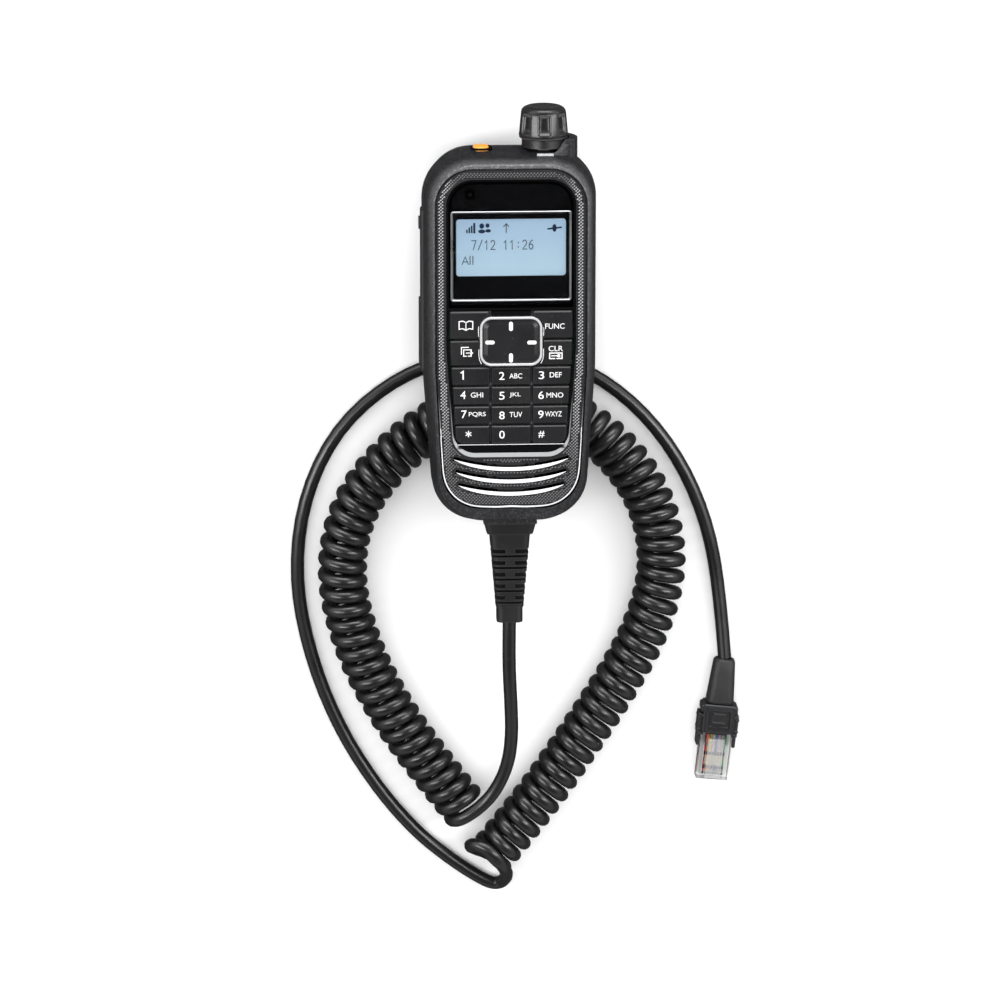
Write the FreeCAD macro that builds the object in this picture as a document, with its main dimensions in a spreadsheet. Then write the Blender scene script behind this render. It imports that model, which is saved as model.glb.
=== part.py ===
import FreeCAD, Part
import math
import os

import Sketcher

# Hand microphone with display, keypad and a curly cord that ends in a modular plug.
# It lies on its back. Origin: centre of the hanger stud's face, on the surface it lies on.
# +X to the user's right, +Y towards the volume knob, +Z out of the front. Millimetres.

Vector = FreeCAD.Vector
doc = FreeCAD.newDocument("hand_microphone")

# ---------------------------------------------------------------- driving sizes
SIZES = (
    # housing
    ("case_top", 40.1, "origin to the top face"),
    ("case_bottom", 95.5, "origin to the bottom face"),
    ("case_half_width", 31.1, "centre line to one side"),
    ("toe_inset", 4.2, "how far each side draws in by the bottom"),
    ("taper_start", 38, "the sides draw in below this"),
    ("top_corner", 18, "outline radius at the top"),
    ("toe_corner", 18, "outline radius at the bottom"),
    ("front_height", 43, "front face above the surface it lies on"),
    ("split_height", 26, "joint between the two shells"),
    ("back_height", 9, "back face at the stud"),
    ("thin_back_height", 19, "back face of the thin lower half"),
    ("slope_top", 20, "back starts to slope"),
    ("slope_bottom", 46, "back stops sloping"),
    ("case_wall", 2, "shell thickness"),
    ("back_inset", 3, "back outline inside the split outline"),
    ("rim_bevel", 0.5, "bevel on the front rim"),
    ("back_bevel", 2.5, "bevel round the back"),
    ("shoulder_height", 33, "crease between the sides and the front bevel"),
    ("shoulder_inset", 0.5, "crease inside the split outline at the sides"),
    ("shoulder_ends", 1.7, "crease inside the split outline at top and bottom"),
    # front bezel
    ("side_rim", 4.6, "side of the case to side of the bezel"),
    ("top_rim", 5.6, "top of the case to top of the bezel"),
    ("toe_rim", 7.7, "bottom of the case to bottom of the bezel"),
    ("rim_land", 0.6, "flat rim between bezel gap and shoulder"),
    ("front_top_inset", 3.6, "front rim inside the split outline, top"),
    ("front_toe_rise", 2.8, "front rim inside the split outline, bottom"),
    ("front_toe_inset", 2, "how far the front rim draws in by the bottom"),
    ("front_corner", 15, "front rim radius at the top"),
    ("front_toe_corner", 16.5, "front rim radius at the bottom"),
    ("bezel_gap", 0.6, "open gap round the bezel"),
    ("bezel_drop", 0.3, "bezel face below the rim"),
    ("bezel_thick", 2.3, "bezel plate"),
    ("bezel_seat", 3.2, "ledge under the bezel's edge"),
    ("bezel_corner", 13, "bezel outline radius at the top"),
    ("bezel_toe_inset", 2.8, "how far the bezel draws in by the bottom"),
    ("bezel_toe_corner", 13.5, "bezel outline radius at the bottom"),
    ("band_width", 3.6, "textured band round the panel"),
    ("panel_drop", 0.7, "panel face below the bezel face"),
    ("panel_corner", 9.5, "panel radius at the top"),
    ("panel_toe_corner", 8, "panel radius at the bottom"),
    ("panel_taper", 30, "the panel draws in below this"),
    ("panel_toe_inset", 2.7, "how far the panel draws in by the bottom"),
    ("panel_bottom", 69.5, "origin to the lower edge of the panel"),
    ("panel_slope", 1.6, "width of the sloped lower edge"),
    # window and display
    ("lens_bottom", 15.2, "origin to the lower edge of the window"),
    ("lens_gap", 0.1, "clearance round the window"),
    ("lens_lip", 1, "lip that carries the window"),
    ("lens_thick", 1, "window"),
    ("trim_half_width", 21.4, "display frame"),
    ("trim_top", 19.6, "display frame, upper edge"),
    ("trim_bottom", 12.8, "origin to the display frame's lower edge"),
    ("trim_line", 0.9, "width of the frame's line"),
    ("trim_rise", 0.2, "frame above the window"),
    ("trim_sink", 0.5, "groove for the frame"),
    ("glass_half_width", 20.6, "display glass"),
    ("glass_top", 18.6, "display glass, upper edge"),
    ("glass_bottom", 8, "origin to the glass's lower edge"),
    ("glass_thick", 2.3, "display glass"),
    ("light_thick", 2, "backlight"),
    # keypad
    ("keypad_top", 16.1, "origin to the key opening's upper edge"),
    ("keypad_bottom", 64.9, "origin to the key opening's lower edge"),
    ("key_margin", 0.7, "panel edge to the key opening"),
    ("key_edge_gap", 0.35, "clearance between keys and the opening"),
    ("key_gap", 0.6, "clearance between keys"),
    ("middle_column", 14.7, "width of the middle column"),
    ("side_key_split", 26.7, "origin to the gap between the side keys"),
    ("digit_top", 36.4, "origin to the first digit row"),
    ("key_rise", 0.5, "key face above the panel"),
    ("key_height", 3.2, "key, from foot to face"),
    ("key_edge", 0.45, "bevel round a key"),
    ("key_travel", 0.5, "how far a key goes in"),
    ("sheet_gap", 0.1, "pressed key to the switch sheet"),
    ("nav_half_width", 11.1, "silver ring"),
    ("nav_top", 18.4, "origin to the ring's upper edge"),
    ("nav_bottom", 36.2, "origin to the ring's lower edge"),
    ("nav_corner", 4.2, "ring radius"),
    ("ring_line", 0.85, "width of the ring"),
    ("ring_rise", 0.35, "ring above the keys"),
    ("pad_gap", 0.25, "clearance between ring and pad"),
    ("pad_slope", 1.7, "width of the slope round the pad"),
    ("pad_drop", 0.6, "height of that slope"),
    ("side_key_reach", 7.9, "centre line to the inner end of a side key"),
    ("mask_half_width", 7.3, "small mask above the ring"),
    # boards and inner pieces
    ("board_front", 36, "front of the main board"),
    ("board_thick", 1.6, "main board"),
    ("board_inset", 5.1, "case side to the main board"),
    ("board_half_width", "=case_half_width - board_inset", "main board"),
    ("board_shoulder", 21.5, "the board is narrower above this"),
    ("board_neck", 19.5, "half width of the board's upper part"),
    ("board_top", 33.5, "board's upper edge"),
    ("board_bottom", 61, "origin to the board's lower edge"),
    ("board_post_inset", 7.9, "case side to the board screws"),
    ("board_post_x", "=case_half_width - board_post_inset", "board screws from the centre line"),
    ("board_post_top", 10, "upper board screws"),
    ("board_post_bottom", 45, "origin to the lower board screws"),
    ("board_post_radius", 2.2, "posts under the ledge"),
    ("board_screw", 0.95, "radius"),
    ("case_post_inset", 7.9, "case side to the upper case screws"),
    ("case_post_x", "=case_half_width - case_post_inset", "upper case screws from the centre line"),
    ("case_post_y", 27, "upper case screws"),
    ("case_toe_post_inset", 10.6, "case side to the lower case screws"),
    ("case_toe_post_x", "=case_half_width - case_toe_post_inset",
     "lower case screws from the centre line"),
    ("case_toe_post_y", 80, "origin to the lower case screws"),
    ("case_post_radius", 3.1, "posts for the case screws"),
    ("case_screw", 1.3, "radius"),
    ("screw_head", 2.3, "radius of a case screw's head"),
    ("head_thick", 1.8, "case screw's head"),
    ("speaker_radius", 8.7, "loudspeaker"),
    ("speaker_y", 74.6, "origin to the loudspeaker's centre"),
    ("speaker_thick", 5.4, "loudspeaker"),
    ("grille_first", 73.5, "origin to the first slot's lip"),
    ("grille_pitch", 4.55, "from one slot to the next"),
    ("grille_bend", 70, "radius that the slots follow"),
    ("first_slot_half", 20.8, "half length of the upper slot"),
    ("second_slot_half", 20.1, "half length of the middle slot"),
    ("third_slot_half", 19.2, "half length of the lower slot"),
    ("slot_open", 1.1, "slot right through the bezel"),
    ("slot_lip", 1.3, "slope above a slot"),
    ("inner_rib", 5.8, "grille ribs from the centre line"),
    ("outer_rib", 12.4, "grille ribs from the centre line"),
    ("rib_width", 0.8, "grille rib"),
    ("mic_x", 14.5, "microphone port, left of the centre line"),
    ("mic_y", 25.6, "microphone port"),
    ("mic_radius", 3, "microphone element"),
    ("mic_port", 0.7, "radius of the microphone port"),
    ("boot_wall", 1.2, "rubber boot round the element"),
    # stud
    ("stud_radius", 9, "hanger stud's head"),
    ("stud_thick", 2.4, "hanger stud's head"),
    ("stud_bevel", 0.5, "bevel on the stud's head"),
    ("stud_neck", 4.5, "radius of the stud's neck"),
    ("stud_boss", 5, "boss inside the case for the stud's screw"),
    ("stud_screw", 2, "radius of its screw"),
    # knob
    ("knob_x", 12.3, "knob axis from the centre line"),
    ("knob_z", 26, "knob axis height"),
    ("knob_radius", 8.7, "knob at its skirt"),
    ("knob_top_radius", 8, "knob below its crown"),
    ("knob_start", 43.2, "lower face of the knob"),
    ("knob_height", 11.4, "knob"),
    ("shaft_radius", 3, "shaft in the knob"),
    ("shaft_clear", 0.05, "running clearance round the shaft"),
    ("bush_radius", 4, "threaded bush"),
    ("encoder_drop", 2.6, "encoder below the inside of the top wall"),
    ("encoder_size", 12.4, "side of the encoder"),
    ("encoder_length", 9, "encoder without its bush"),
    ("collar_radius", 7.7, "sealing collar under the knob"),
    ("guard_inner", 9.3, "wall that shields the knob"),
    ("guard_outer", 12.1, "wall that shields the knob"),
    ("guard_height", 3.2, "guard above the top face"),
    # emergency button
    ("alarm_x", 9.3, "button left of the centre line"),
    ("alarm_half_width", 2.7, "button"),
    ("alarm_half_length", 3.6, "button, along the depth"),
    ("alarm_rise", 0.9, "button above the top face"),
    ("alarm_gap", 0.7, "clearance round the button"),
    ("alarm_travel", 0.8, "how far it goes in"),
    ("alarm_drop", 1.6, "button's flange below the inside of the top wall"),
    ("alarm_flange", 0.9, "thickness of the button's flange"),
    # talk key
    ("talk_top", 18.5, "talk key, upper end"),
    ("talk_bottom", 41, "origin to the talk key's lower end"),
    ("talk_low", 22.6, "talk key, back edge"),
    ("talk_high", 32.5, "talk key, front edge"),
    ("talk_rise", 0.5, "talk key outside the case"),
    ("talk_pad", 0.6, "raised pad on the talk key"),
    ("talk_gap", 0.35, "clearance round the talk key"),
    ("talk_flange", 1.2, "inner flange past the opening"),
    ("talk_travel", 1, "how far it goes in"),
    ("talk_room", 1.9, "case wall's inner face to the talk key's flange"),
    # indicator
    ("lamp_x", 12.5, "indicator window from the centre line"),
    ("lamp_half_width", 2.9, "indicator window"),
    ("lamp_low", 33.5, "indicator window, back edge"),
    ("lamp_high", 34.9, "indicator window, front edge"),
    # cord and its fittings
    ("cord_diameter", 4.9, "cord"),
    ("curl_diameter", 18.2, "outside of the curls"),
    ("relief_z", 31, "strain relief axis"),
    ("slot_count", 5, "pairs of slots"),
    ("relief_end", 132.8, "origin to the strain relief's end"),
    ("collar_end", 99.6, "origin to the end of its collar"),
    ("relief_width", 14.6, "strain relief after the collar"),
    ("relief_tip_width", 9.4, "strain relief at its end"),
    ("relief_depth", 11, "front to back after the collar"),
    ("relief_tip_depth", 8.6, "front to back at its end"),
    ("slot_pitch", 4.35, "from one pair of slots to the next"),
    ("slot_width", 1.5, "slots in the strain relief"),
    ("relief_web", 3.4, "middle web left between two slots"),
    ("collar_width", 18.8, "strain relief's collar at the case"),
    ("collar_depth", 12.4, "collar at the case, front to back"),
    ("collar_end_width", 16.6, "collar at its outer end"),
    ("collar_end_depth", 11.8, "collar at its outer end, front to back"),
    ("tip_ring", 5.6, "plain ring at the strain relief's end"),
    ("neck_width", 9.8, "strain relief inside the case wall"),
    ("neck_rise", 3.9, "neck above the strain relief's axis"),
    ("neck_gap", 0.2, "clearance round the neck"),
    # plug, in its own frame: it points along -Y from the end of the cord
    ("plug_x", 80.7, "cord end of the boot"),
    ("plug_y", 155.4, "origin to the cord end of the boot"),
    ("plug_z", 5.4, "plug axis above the surface"),
    ("plug_turn", -5.9, "turn of the plug, degrees"),
    ("boot_length", 15.5, "boot, up to the cover"),
    ("cover_length", 17.4, "latch cover"),
    ("cover_half_width", 7.6, "latch cover"),
    ("cover_low", 5.2, "cover below the plug axis"),
    ("cover_high", 6.4, "cover above the plug axis"),
    ("plug_half_width", 5.84, "plug body"),
    ("plug_low", 3.3, "plug body below its axis"),
    ("plug_high", 3.3, "plug body above its axis"),
    ("plug_length", 21.5, "plug body"),
    ("plug_end", 45.8, "boot end to the plug's nose"),
    ("contact_pitch", 1.02, "contacts"),
)

sheet = doc.addObject("Spreadsheet::Sheet", "Sheet")
for row, (alias, number, note) in enumerate(SIZES, start=1):
    sheet.set(f"A{row}", note)
    sheet.set(f"B{row}", str(number))
    sheet.setAlias(f"B{row}", alias)
doc.recompute()
ALIASES = sorted((alias for alias, number, note in SIZES), key=len, reverse=True)


def bound(text):
    """An expression in the sheet's names, written with plain names: 'case_top - case_wall'."""
    words = []
    word = ""
    for letter in str(text) + " ":
        if letter.isalnum() or letter == "_" or (letter == "." and word.isdigit()):
            word += letter
            continue
        words.append(f"Sheet.{word}" if word in ALIASES else word)
        words.append(letter)
        word = ""
    return "".join(words).strip()


def value(text):
    return float(sheet.evalExpression(bound(text)))


# ---------------------------------------------------------------- drawing helpers
pieces = []


def new_body(label):
    body = doc.addObject("PartDesign::Body", label)
    body.Label = label
    pieces.append(body)
    return body


def new_sketch(body, role, offset="0"):
    """A sketch on one of the body's own planes, moved along that plane's normal."""
    sketch = body.newObject("Sketcher::SketchObject", body.Name + "_sketch")
    plane = [item for item in body.Origin.OriginFeatures if item.Role == role][0]
    sketch.AttachmentSupport = [(plane, "")]
    sketch.MapMode = "FlatFace"
    sketch.setExpression("AttachmentOffset.Base.z", bound(offset))
    return sketch


def constrain(sketch, rules):
    """Adds (constraint, expression or None) pairs in one go and binds their sizes."""
    first = sketch.ConstraintCount
    sketch.addConstraint([rule for rule, text in rules])
    for number, (rule, text) in enumerate(rules, start=first):
        if text is not None:
            sketch.setExpression(f"Constraints[{number}]", bound(text))


def pinned(geometry, point, x, y):
    """Rules that hold one point at a place in the sketch."""
    return [(Sketcher.Constraint(kind, -1, 1, geometry, point, value(place)), place)
            for kind, place in (("DistanceX", x), ("DistanceY", y))]


def draw_outline(sketch, corners):
    """A closed outline through corners (x, y, radius), each rounded by a tangent arc."""
    spots = [Vector(value(x), value(y), 0) for x, y, radius in corners]
    starts, ends, arcs = [], [], []
    for index, spot in enumerate(spots):
        radius = corners[index][2]
        if radius is None:
            starts.append(spot)
            ends.append(spot)
            arcs.append(None)
            continue
        back = (spots[index - 1] - spot).normalize()
        ahead = (spots[(index + 1) % len(spots)] - spot).normalize()
        half = back.getAngle(ahead) / 2
        size = value(radius)
        centre = spot + (back + ahead).normalize() * (size / math.sin(half))
        starts.append(spot + back * (size / math.tan(half)))
        ends.append(spot + ahead * (size / math.tan(half)))
        middle = centre + (spot - centre).normalize() * size
        first, last = starts[-1], ends[-1]
        if back.cross(ahead).z > 0:
            first, last = last, first
        arcs.append(Part.Arc(first, middle, last))
    lines = [sketch.addGeometry(Part.LineSegment(ends[index], starts[(index + 1) % len(spots)]))
             for index in range(len(spots))]
    rules = []
    for index, (x, y, radius) in enumerate(corners):
        before, after = lines[index - 1], lines[index]
        if radius is None:
            rules.append((Sketcher.Constraint("Coincident", before, 2, after, 1), None))
            rules += pinned(after, 1, x, y)
            continue
        arc = sketch.addGeometry(arcs[index])
        first = 1 if sketch.Geometry[arc].StartPoint.distanceToPoint(starts[index]) < 1e-6 else 2
        corner = sketch.addGeometry(Part.Point(spots[index]), True)
        rules += pinned(corner, 1, x, y)
        rules += [(Sketcher.Constraint("PointOnObject", corner, 1, before), None),
                  (Sketcher.Constraint("PointOnObject", corner, 1, after), None),
                  (Sketcher.Constraint("Tangent", before, 2, arc, first), None),
                  (Sketcher.Constraint("Tangent", arc, 3 - first, after, 1), None),
                  (Sketcher.Constraint("Radius", arc, value(radius)), radius)]
    constrain(sketch, rules)


def draw_circle(sketch, x, y, radius):
    ring = sketch.addGeometry(Part.Circle(Vector(value(x), value(y), 0), Vector(0, 0, 1), value(radius)))
    constrain(sketch, pinned(ring, 3, x, y)
              + [(Sketcher.Constraint("Radius", ring, value(radius)), radius)])


def box_corners(low_x, high_x, low_y, high_y, radius=None):
    return [(high_x, high_y, radius), (low_x, high_y, radius),
            (low_x, low_y, radius), (high_x, low_y, radius)]


def both_sides(right):
    """Corners of the right half, top to bottom, with their mirror images added."""
    left = [("-(" + x + ")", y, radius) for x, y, radius in reversed(right)]
    return right + left


def pad(body, sketch, length, reverse=False, middle=False):
    feature = body.newObject("PartDesign::Pad", body.Name + "_pad")
    feature.Profile = sketch
    feature.Reversed = reverse
    feature.SideType = "Symmetric" if middle else "One side"
    feature.setExpression("Length", bound(length))
    doc.recompute()
    return feature


def pocket(body, sketch, length, reverse=False, middle=False):
    """Cuts into the body; a cut that takes nothing away is an error."""
    before = body.Shape.Volume
    feature = body.newObject("PartDesign::Pocket", body.Name + "_pocket")
    feature.Profile = sketch
    feature.Reversed = reverse
    feature.SideType = "Symmetric" if middle else "One side"
    feature.setExpression("Length", bound(length))
    doc.recompute()
    if not body.Shape.Volume < before - 1e-3:
        raise RuntimeError(f"{body.Label}: {feature.Name} cuts nothing")
    return feature


def pad_outline(body, corners, low, thick, role="XY_Plane"):
    sketch = new_sketch(body, role, low)
    draw_outline(sketch, corners)
    return pad(body, sketch, thick)


def cut_outline(body, corners, low, thick, role="XY_Plane"):
    sketch = new_sketch(body, role, low)
    draw_outline(sketch, corners)
    return pocket(body, sketch, thick, reverse=True)


def pad_circles(body, centres, radius, low, thick, role="XY_Plane"):
    sketch = new_sketch(body, role, low)
    for x, y in centres:
        draw_circle(sketch, x, y, radius)
    return pad(body, sketch, thick)


def cut_circles(body, centres, radius, low, thick, role="XY_Plane"):
    sketch = new_sketch(body, role, low)
    for x, y in centres:
        draw_circle(sketch, x, y, radius)
    return pocket(body, sketch, thick, reverse=True)


def revolve(body, role, offset, corners, axis="V_Axis"):
    """Turns an outline about its sketch's own vertical or horizontal axis."""
    sketch = new_sketch(body, role, offset)
    draw_outline(sketch, corners)
    feature = body.newObject("PartDesign::Revolution", body.Name + "_turn")
    feature.Profile = sketch
    feature.ReferenceAxis = (sketch, [axis])
    feature.Angle = 360
    doc.recompute()
    return feature


def loft(body, sections, role="XY_Plane", subtract=False):
    """Skins two outlines, each (offset, corners), with straight walls in between."""
    sketches = []
    for offset, corners in sections:
        sketch = new_sketch(body, role, offset)
        draw_outline(sketch, corners)
        sketches.append(sketch)
    before = body.Shape.Volume if subtract else 0
    kind = "SubtractiveLoft" if subtract else "AdditiveLoft"
    feature = body.newObject("PartDesign::" + kind, body.Name + "_loft")
    feature.Profile = sketches[0]
    feature.Sections = sketches[1:]
    feature.Ruled = True
    doc.recompute()
    if subtract and not body.Shape.Volume < before - 1e-3:
        raise RuntimeError(f"{body.Label}: {feature.Name} cuts nothing")
    return feature


def edges_where(shape, test):
    return [f"Edge{number}" for number, edge in enumerate(shape.Edges, start=1) if test(edge)]


def dress(body, kind, amount, test):
    """A fillet or chamfer on each edge of the body that passes the test."""
    base = body.Tip
    names = edges_where(base.Shape, test)
    if not names:
        raise RuntimeError(f"{body.Label}: no edge for its {kind}")
    feature = body.newObject("PartDesign::" + kind, body.Name + "_" + kind.lower())
    feature.Base = (base, names)
    size = "Radius" if kind == "Fillet" else "Size"
    feature.setExpression(size, bound(amount))
    doc.recompute()
    return feature


def level_edges(height):
    """Picks edges that lie in the plane at one height."""
    return lambda edge: (abs(edge.BoundBox.ZMin - height) < 1e-4
                         and abs(edge.BoundBox.ZMax - height) < 1e-4)


# ---------------------------------------------------------------- shared outlines and levels
bezel_face = "front_height - bezel_drop"
bezel_back = f"{bezel_face} - bezel_thick"
seat_back = f"{bezel_back} - case_wall"
panel_face = f"{bezel_face} - panel_drop"
key_face = f"{panel_face} + key_rise"
key_foot = f"{key_face} - key_height"
switch_sheet_top = f"{key_foot} - key_travel - sheet_gap"
board_back = "board_front - board_thick"
alarm_seat = "case_top - case_wall - alarm_drop"
bezel_half = "case_half_width - side_rim"
panel_half = f"{bezel_half} - band_width"
keypad_half = f"{panel_half} - key_margin"
bezel_top = "case_top - top_rim"
bezel_bottom = "case_bottom - toe_rim"
panel_top = f"{bezel_top} - band_width"


def case_outline(inset):
    """The outline at the split, drawn in by one distance all round."""
    half = f"case_half_width - ({inset})"
    return both_sides([
        (half, f"case_top - ({inset})", f"top_corner - ({inset})"),
        (half, "-taper_start", None),
        (f"{half} - toe_inset", f"-(case_bottom - ({inset}))", f"toe_corner - ({inset})")])


def shoulder_outline(inset):
    half = f"case_half_width - shoulder_inset - ({inset})"
    ends = f"shoulder_ends + ({inset})"
    return both_sides([
        (half, f"case_top - ({ends})", f"top_corner - ({ends})"),
        (half, "-taper_start", None),
        (f"{half} - toe_inset + shoulder_inset", f"-(case_bottom - ({ends}) / 2)",
         f"toe_corner - ({ends})")])


def front_outline(inset):
    half = f"{bezel_half} + bezel_gap + rim_land - ({inset})"
    return both_sides([
        (half, f"case_top - front_top_inset - ({inset})", f"front_corner - ({inset})"),
        (half, "-taper_start", None),
        (f"{half} - front_toe_inset", f"-(case_bottom - front_toe_rise - ({inset}))",
         f"front_toe_corner - ({inset})")])


def bezel_outline(inset):
    half = f"{bezel_half} - ({inset})"
    return both_sides([
        (half, f"{bezel_top} - ({inset})", f"bezel_corner - ({inset})"),
        (half, "-taper_start", None),
        (f"{half} - bezel_toe_inset", f"-({bezel_bottom} - ({inset}))",
         f"bezel_toe_corner - ({inset})")])


def panel_outline(side, bottom):
    half = f"{panel_half} + ({side})"
    return both_sides([
        (half, f"{panel_top} + ({side})", "panel_corner"),
        (half, "-panel_taper", None),
        (f"{half} - panel_toe_inset", f"-({bottom})", "panel_toe_corner")])


def window_outline(inset):
    half = f"{keypad_half} - ({inset})"
    return both_sides([
        (half, f"{panel_top} - key_margin - ({inset})", f"panel_corner - key_margin - ({inset})"),
        (half, f"-(lens_bottom - ({inset}))", "0.6")])


def key_side(depth):
    """Outer edge of the key opening at one depth below the origin, where the panel draws in."""
    drawn = f"max(0; (({depth}) - panel_taper) / (panel_bottom - panel_taper))"
    return f"{keypad_half} - panel_toe_inset * {drawn}"


# ---------------------------------------------------------------- housing
def cut_shell_openings(body):
    """Openings that the two shells share where they meet."""
    talk = new_sketch(body, "YZ_Plane", "-case_half_width")
    draw_outline(talk, box_corners("-(talk_bottom + talk_gap)", "talk_top + talk_gap",
                                   "talk_low - talk_gap", "talk_high + talk_gap", "2.5"))
    pocket(body, talk, "case_wall * 6", middle=True)
    bush = new_sketch(body, "XZ_Plane", "-case_top")
    draw_circle(bush, "knob_x", "knob_z", "bush_radius + 0.1")
    pocket(body, bush, "case_wall * 5", middle=True)
    alarm = new_sketch(body, "XZ_Plane", "-case_top")
    draw_outline(alarm, box_corners("-(alarm_x + alarm_half_width + alarm_gap)",
                                    "-(alarm_x - alarm_half_width - alarm_gap)",
                                    "knob_z - alarm_half_length - alarm_gap",
                                    "knob_z + alarm_half_length + alarm_gap", "1.6"))
    pocket(body, alarm, "case_wall * 5", middle=True)


def start_guard(body, corners):
    """A raised wall beside the knob, drawn before its shell; the corners bound what is cut away."""
    depth = "guard_height + case_wall * 3"
    ring = new_sketch(body, "XZ_Plane", "-(case_top + guard_height)")
    draw_circle(ring, "knob_x", "knob_z", "guard_outer")
    draw_circle(ring, "knob_x", "knob_z", "guard_inner")
    pad(body, ring, depth)
    away = new_sketch(body, "XZ_Plane", "-(case_top + guard_height)")
    draw_outline(away, corners)
    pocket(body, away, depth, reverse=True)


def build_rear_case():
    body = new_body("rear_case")
    start_guard(body, [("knob_x + guard_outer + 1", "split_height", None),
                       ("knob_x + guard_outer + 1", "split_height + guard_outer + 1", None),
                       ("knob_x - guard_outer - 1", "split_height + guard_outer + 1", None),
                       ("knob_x - guard_outer - 1", "split_height - guard_outer - 1", None),
                       ("knob_x - 4", "split_height - guard_outer - 1", None),
                       ("knob_x - 4", "split_height", None)])
    loft(body, [("back_height", case_outline("back_inset + back_bevel * 0.6")),
                ("back_height + back_bevel", case_outline("back_inset - back_bevel * 0.3")),
                ("split_height", case_outline("0"))])
    slope = new_sketch(body, "YZ_Plane", "0")
    draw_outline(slope, [("-slope_top", "back_height - 1", None),
                         ("-slope_top", "back_height", None),
                         ("-slope_bottom", "thin_back_height", None),
                         ("-(case_bottom + 5)", "thin_back_height", None),
                         ("-(case_bottom + 5)", "back_height - 1", None)])
    pocket(body, slope, "case_half_width * 3", middle=True)
    top_half = "case_half_width - back_inset - case_wall"
    inner = "top_corner - back_inset - case_wall"
    floor = box_corners(f"-({top_half})", top_half, "-(slope_top - case_wall)",
                        "case_top - back_inset - case_wall", inner)
    mouth = box_corners(f"-({top_half} + back_inset)", f"{top_half} + back_inset",
                        "-(slope_top - case_wall)", "case_top - case_wall", f"{inner} + back_inset")
    loft(body, [("back_height + case_wall", floor), ("split_height", mouth)], subtract=True)
    loft(body, [("thin_back_height + case_wall", case_outline("back_inset + case_wall - 1")),
                ("split_height", case_outline("case_wall"))], subtract=True)
    posts = [("case_post_x", "case_post_y"), ("-case_post_x", "case_post_y")]
    toe_posts = [("case_toe_post_x", "-case_toe_post_y"), ("-case_toe_post_x", "-case_toe_post_y")]
    pad_circles(body, posts, "case_post_radius", "back_height + case_wall / 2",
                "split_height - back_height - case_wall / 2")
    pad_circles(body, toe_posts, "case_post_radius", "thin_back_height + case_wall / 2",
                "split_height - thin_back_height - case_wall / 2")
    pad_circles(body, [("0", "0")], "stud_neck + 1", "back_height + case_wall / 2", "stud_boss")
    cut_shell_openings(body)
    cut_circles(body, posts, "screw_head + 0.2", "back_height", "head_thick + 1.2")
    cut_circles(body, toe_posts, "screw_head + 0.2", "thin_back_height", "head_thick + 0.8")
    cut_circles(body, posts + toe_posts, "case_screw + 0.15", "back_height",
                "split_height - back_height")
    cut_circles(body, [("0", "0")], "stud_screw", "back_height", "stud_boss + case_wall / 2")


def build_front_case():
    body = new_body("front_case")
    start_guard(body, [("knob_x + guard_outer + 1", "split_height", None),
                       ("knob_x + guard_inner", "split_height", None),
                       ("knob_x + guard_inner - 2", "split_height + 5.5", None),
                       ("knob_x + guard_outer + 1", "split_height + 5.5", None),
                       ("knob_x + guard_outer + 1", "split_height + guard_outer + 1", None),
                       ("knob_x - guard_outer - 1", "split_height + guard_outer + 1", None),
                       ("knob_x - guard_outer - 1", "split_height - guard_outer - 1", None),
                       ("knob_x + guard_outer + 1", "split_height - guard_outer - 1", None)])
    loft(body, [("split_height", case_outline("0")),
                ("shoulder_height", shoulder_outline("0")),
                ("front_height - rim_bevel", front_outline("0")),
                ("front_height", front_outline("rim_bevel"))])
    loft(body, [("split_height", case_outline("case_wall")),
                ("shoulder_height", shoulder_outline("case_wall")),
                (seat_back, front_outline("case_wall - 1"))], subtract=True)
    cut_outline(body, bezel_outline("-bezel_gap"), bezel_back, "bezel_thick + bezel_drop")
    cut_outline(body, bezel_outline("bezel_seat"), seat_back, "case_wall")
    board_posts = [(x, y) for x in ("board_post_x", "-board_post_x")
                   for y in ("board_post_top", "-board_post_bottom")]
    pad_circles(body, board_posts, "board_post_radius", "board_front", f"{seat_back} - board_front")
    case_posts = [(x, y) for x, y in (("case_post_x", "case_post_y"),
                                      ("-case_post_x", "case_post_y"),
                                      ("case_toe_post_x", "-case_toe_post_y"),
                                      ("-case_toe_post_x", "-case_toe_post_y"))]
    pad_circles(body, case_posts, "case_post_radius", "split_height", f"{seat_back} - split_height")
    toe_boss = new_sketch(body, "XZ_Plane", "case_bottom")
    boss_half = "collar_width / 2 + neck_gap"
    draw_outline(toe_boss, box_corners(f"-({boss_half})", boss_half, "split_height",
                                       "relief_z + collar_depth / 2 + neck_gap"))
    pad(body, toe_boss, "5", reverse=True)
    cut_shell_openings(body)
    cut_circles(body, board_posts, "board_screw", "board_front", f"{seat_back} - board_front")
    cut_circles(body, case_posts, "case_screw", "split_height", f"{seat_back} - split_height - 1")
    lamp = new_sketch(body, "XZ_Plane", "-case_top")
    draw_outline(lamp, box_corners("lamp_x - lamp_half_width - 0.1", "lamp_x + lamp_half_width + 0.1",
                                   "lamp_low - 0.1", "lamp_high + 0.1"))
    pocket(body, lamp, "case_wall * 5", middle=True)
    neck = new_sketch(body, "XZ_Plane", "case_bottom + 1")
    neck_half = "neck_width / 2 + neck_gap"
    draw_outline(neck, box_corners(f"-({neck_half})", neck_half, "split_height - 1",
                                   "relief_z + neck_rise + neck_gap"))
    pocket(body, neck, "8", reverse=False)


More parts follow.
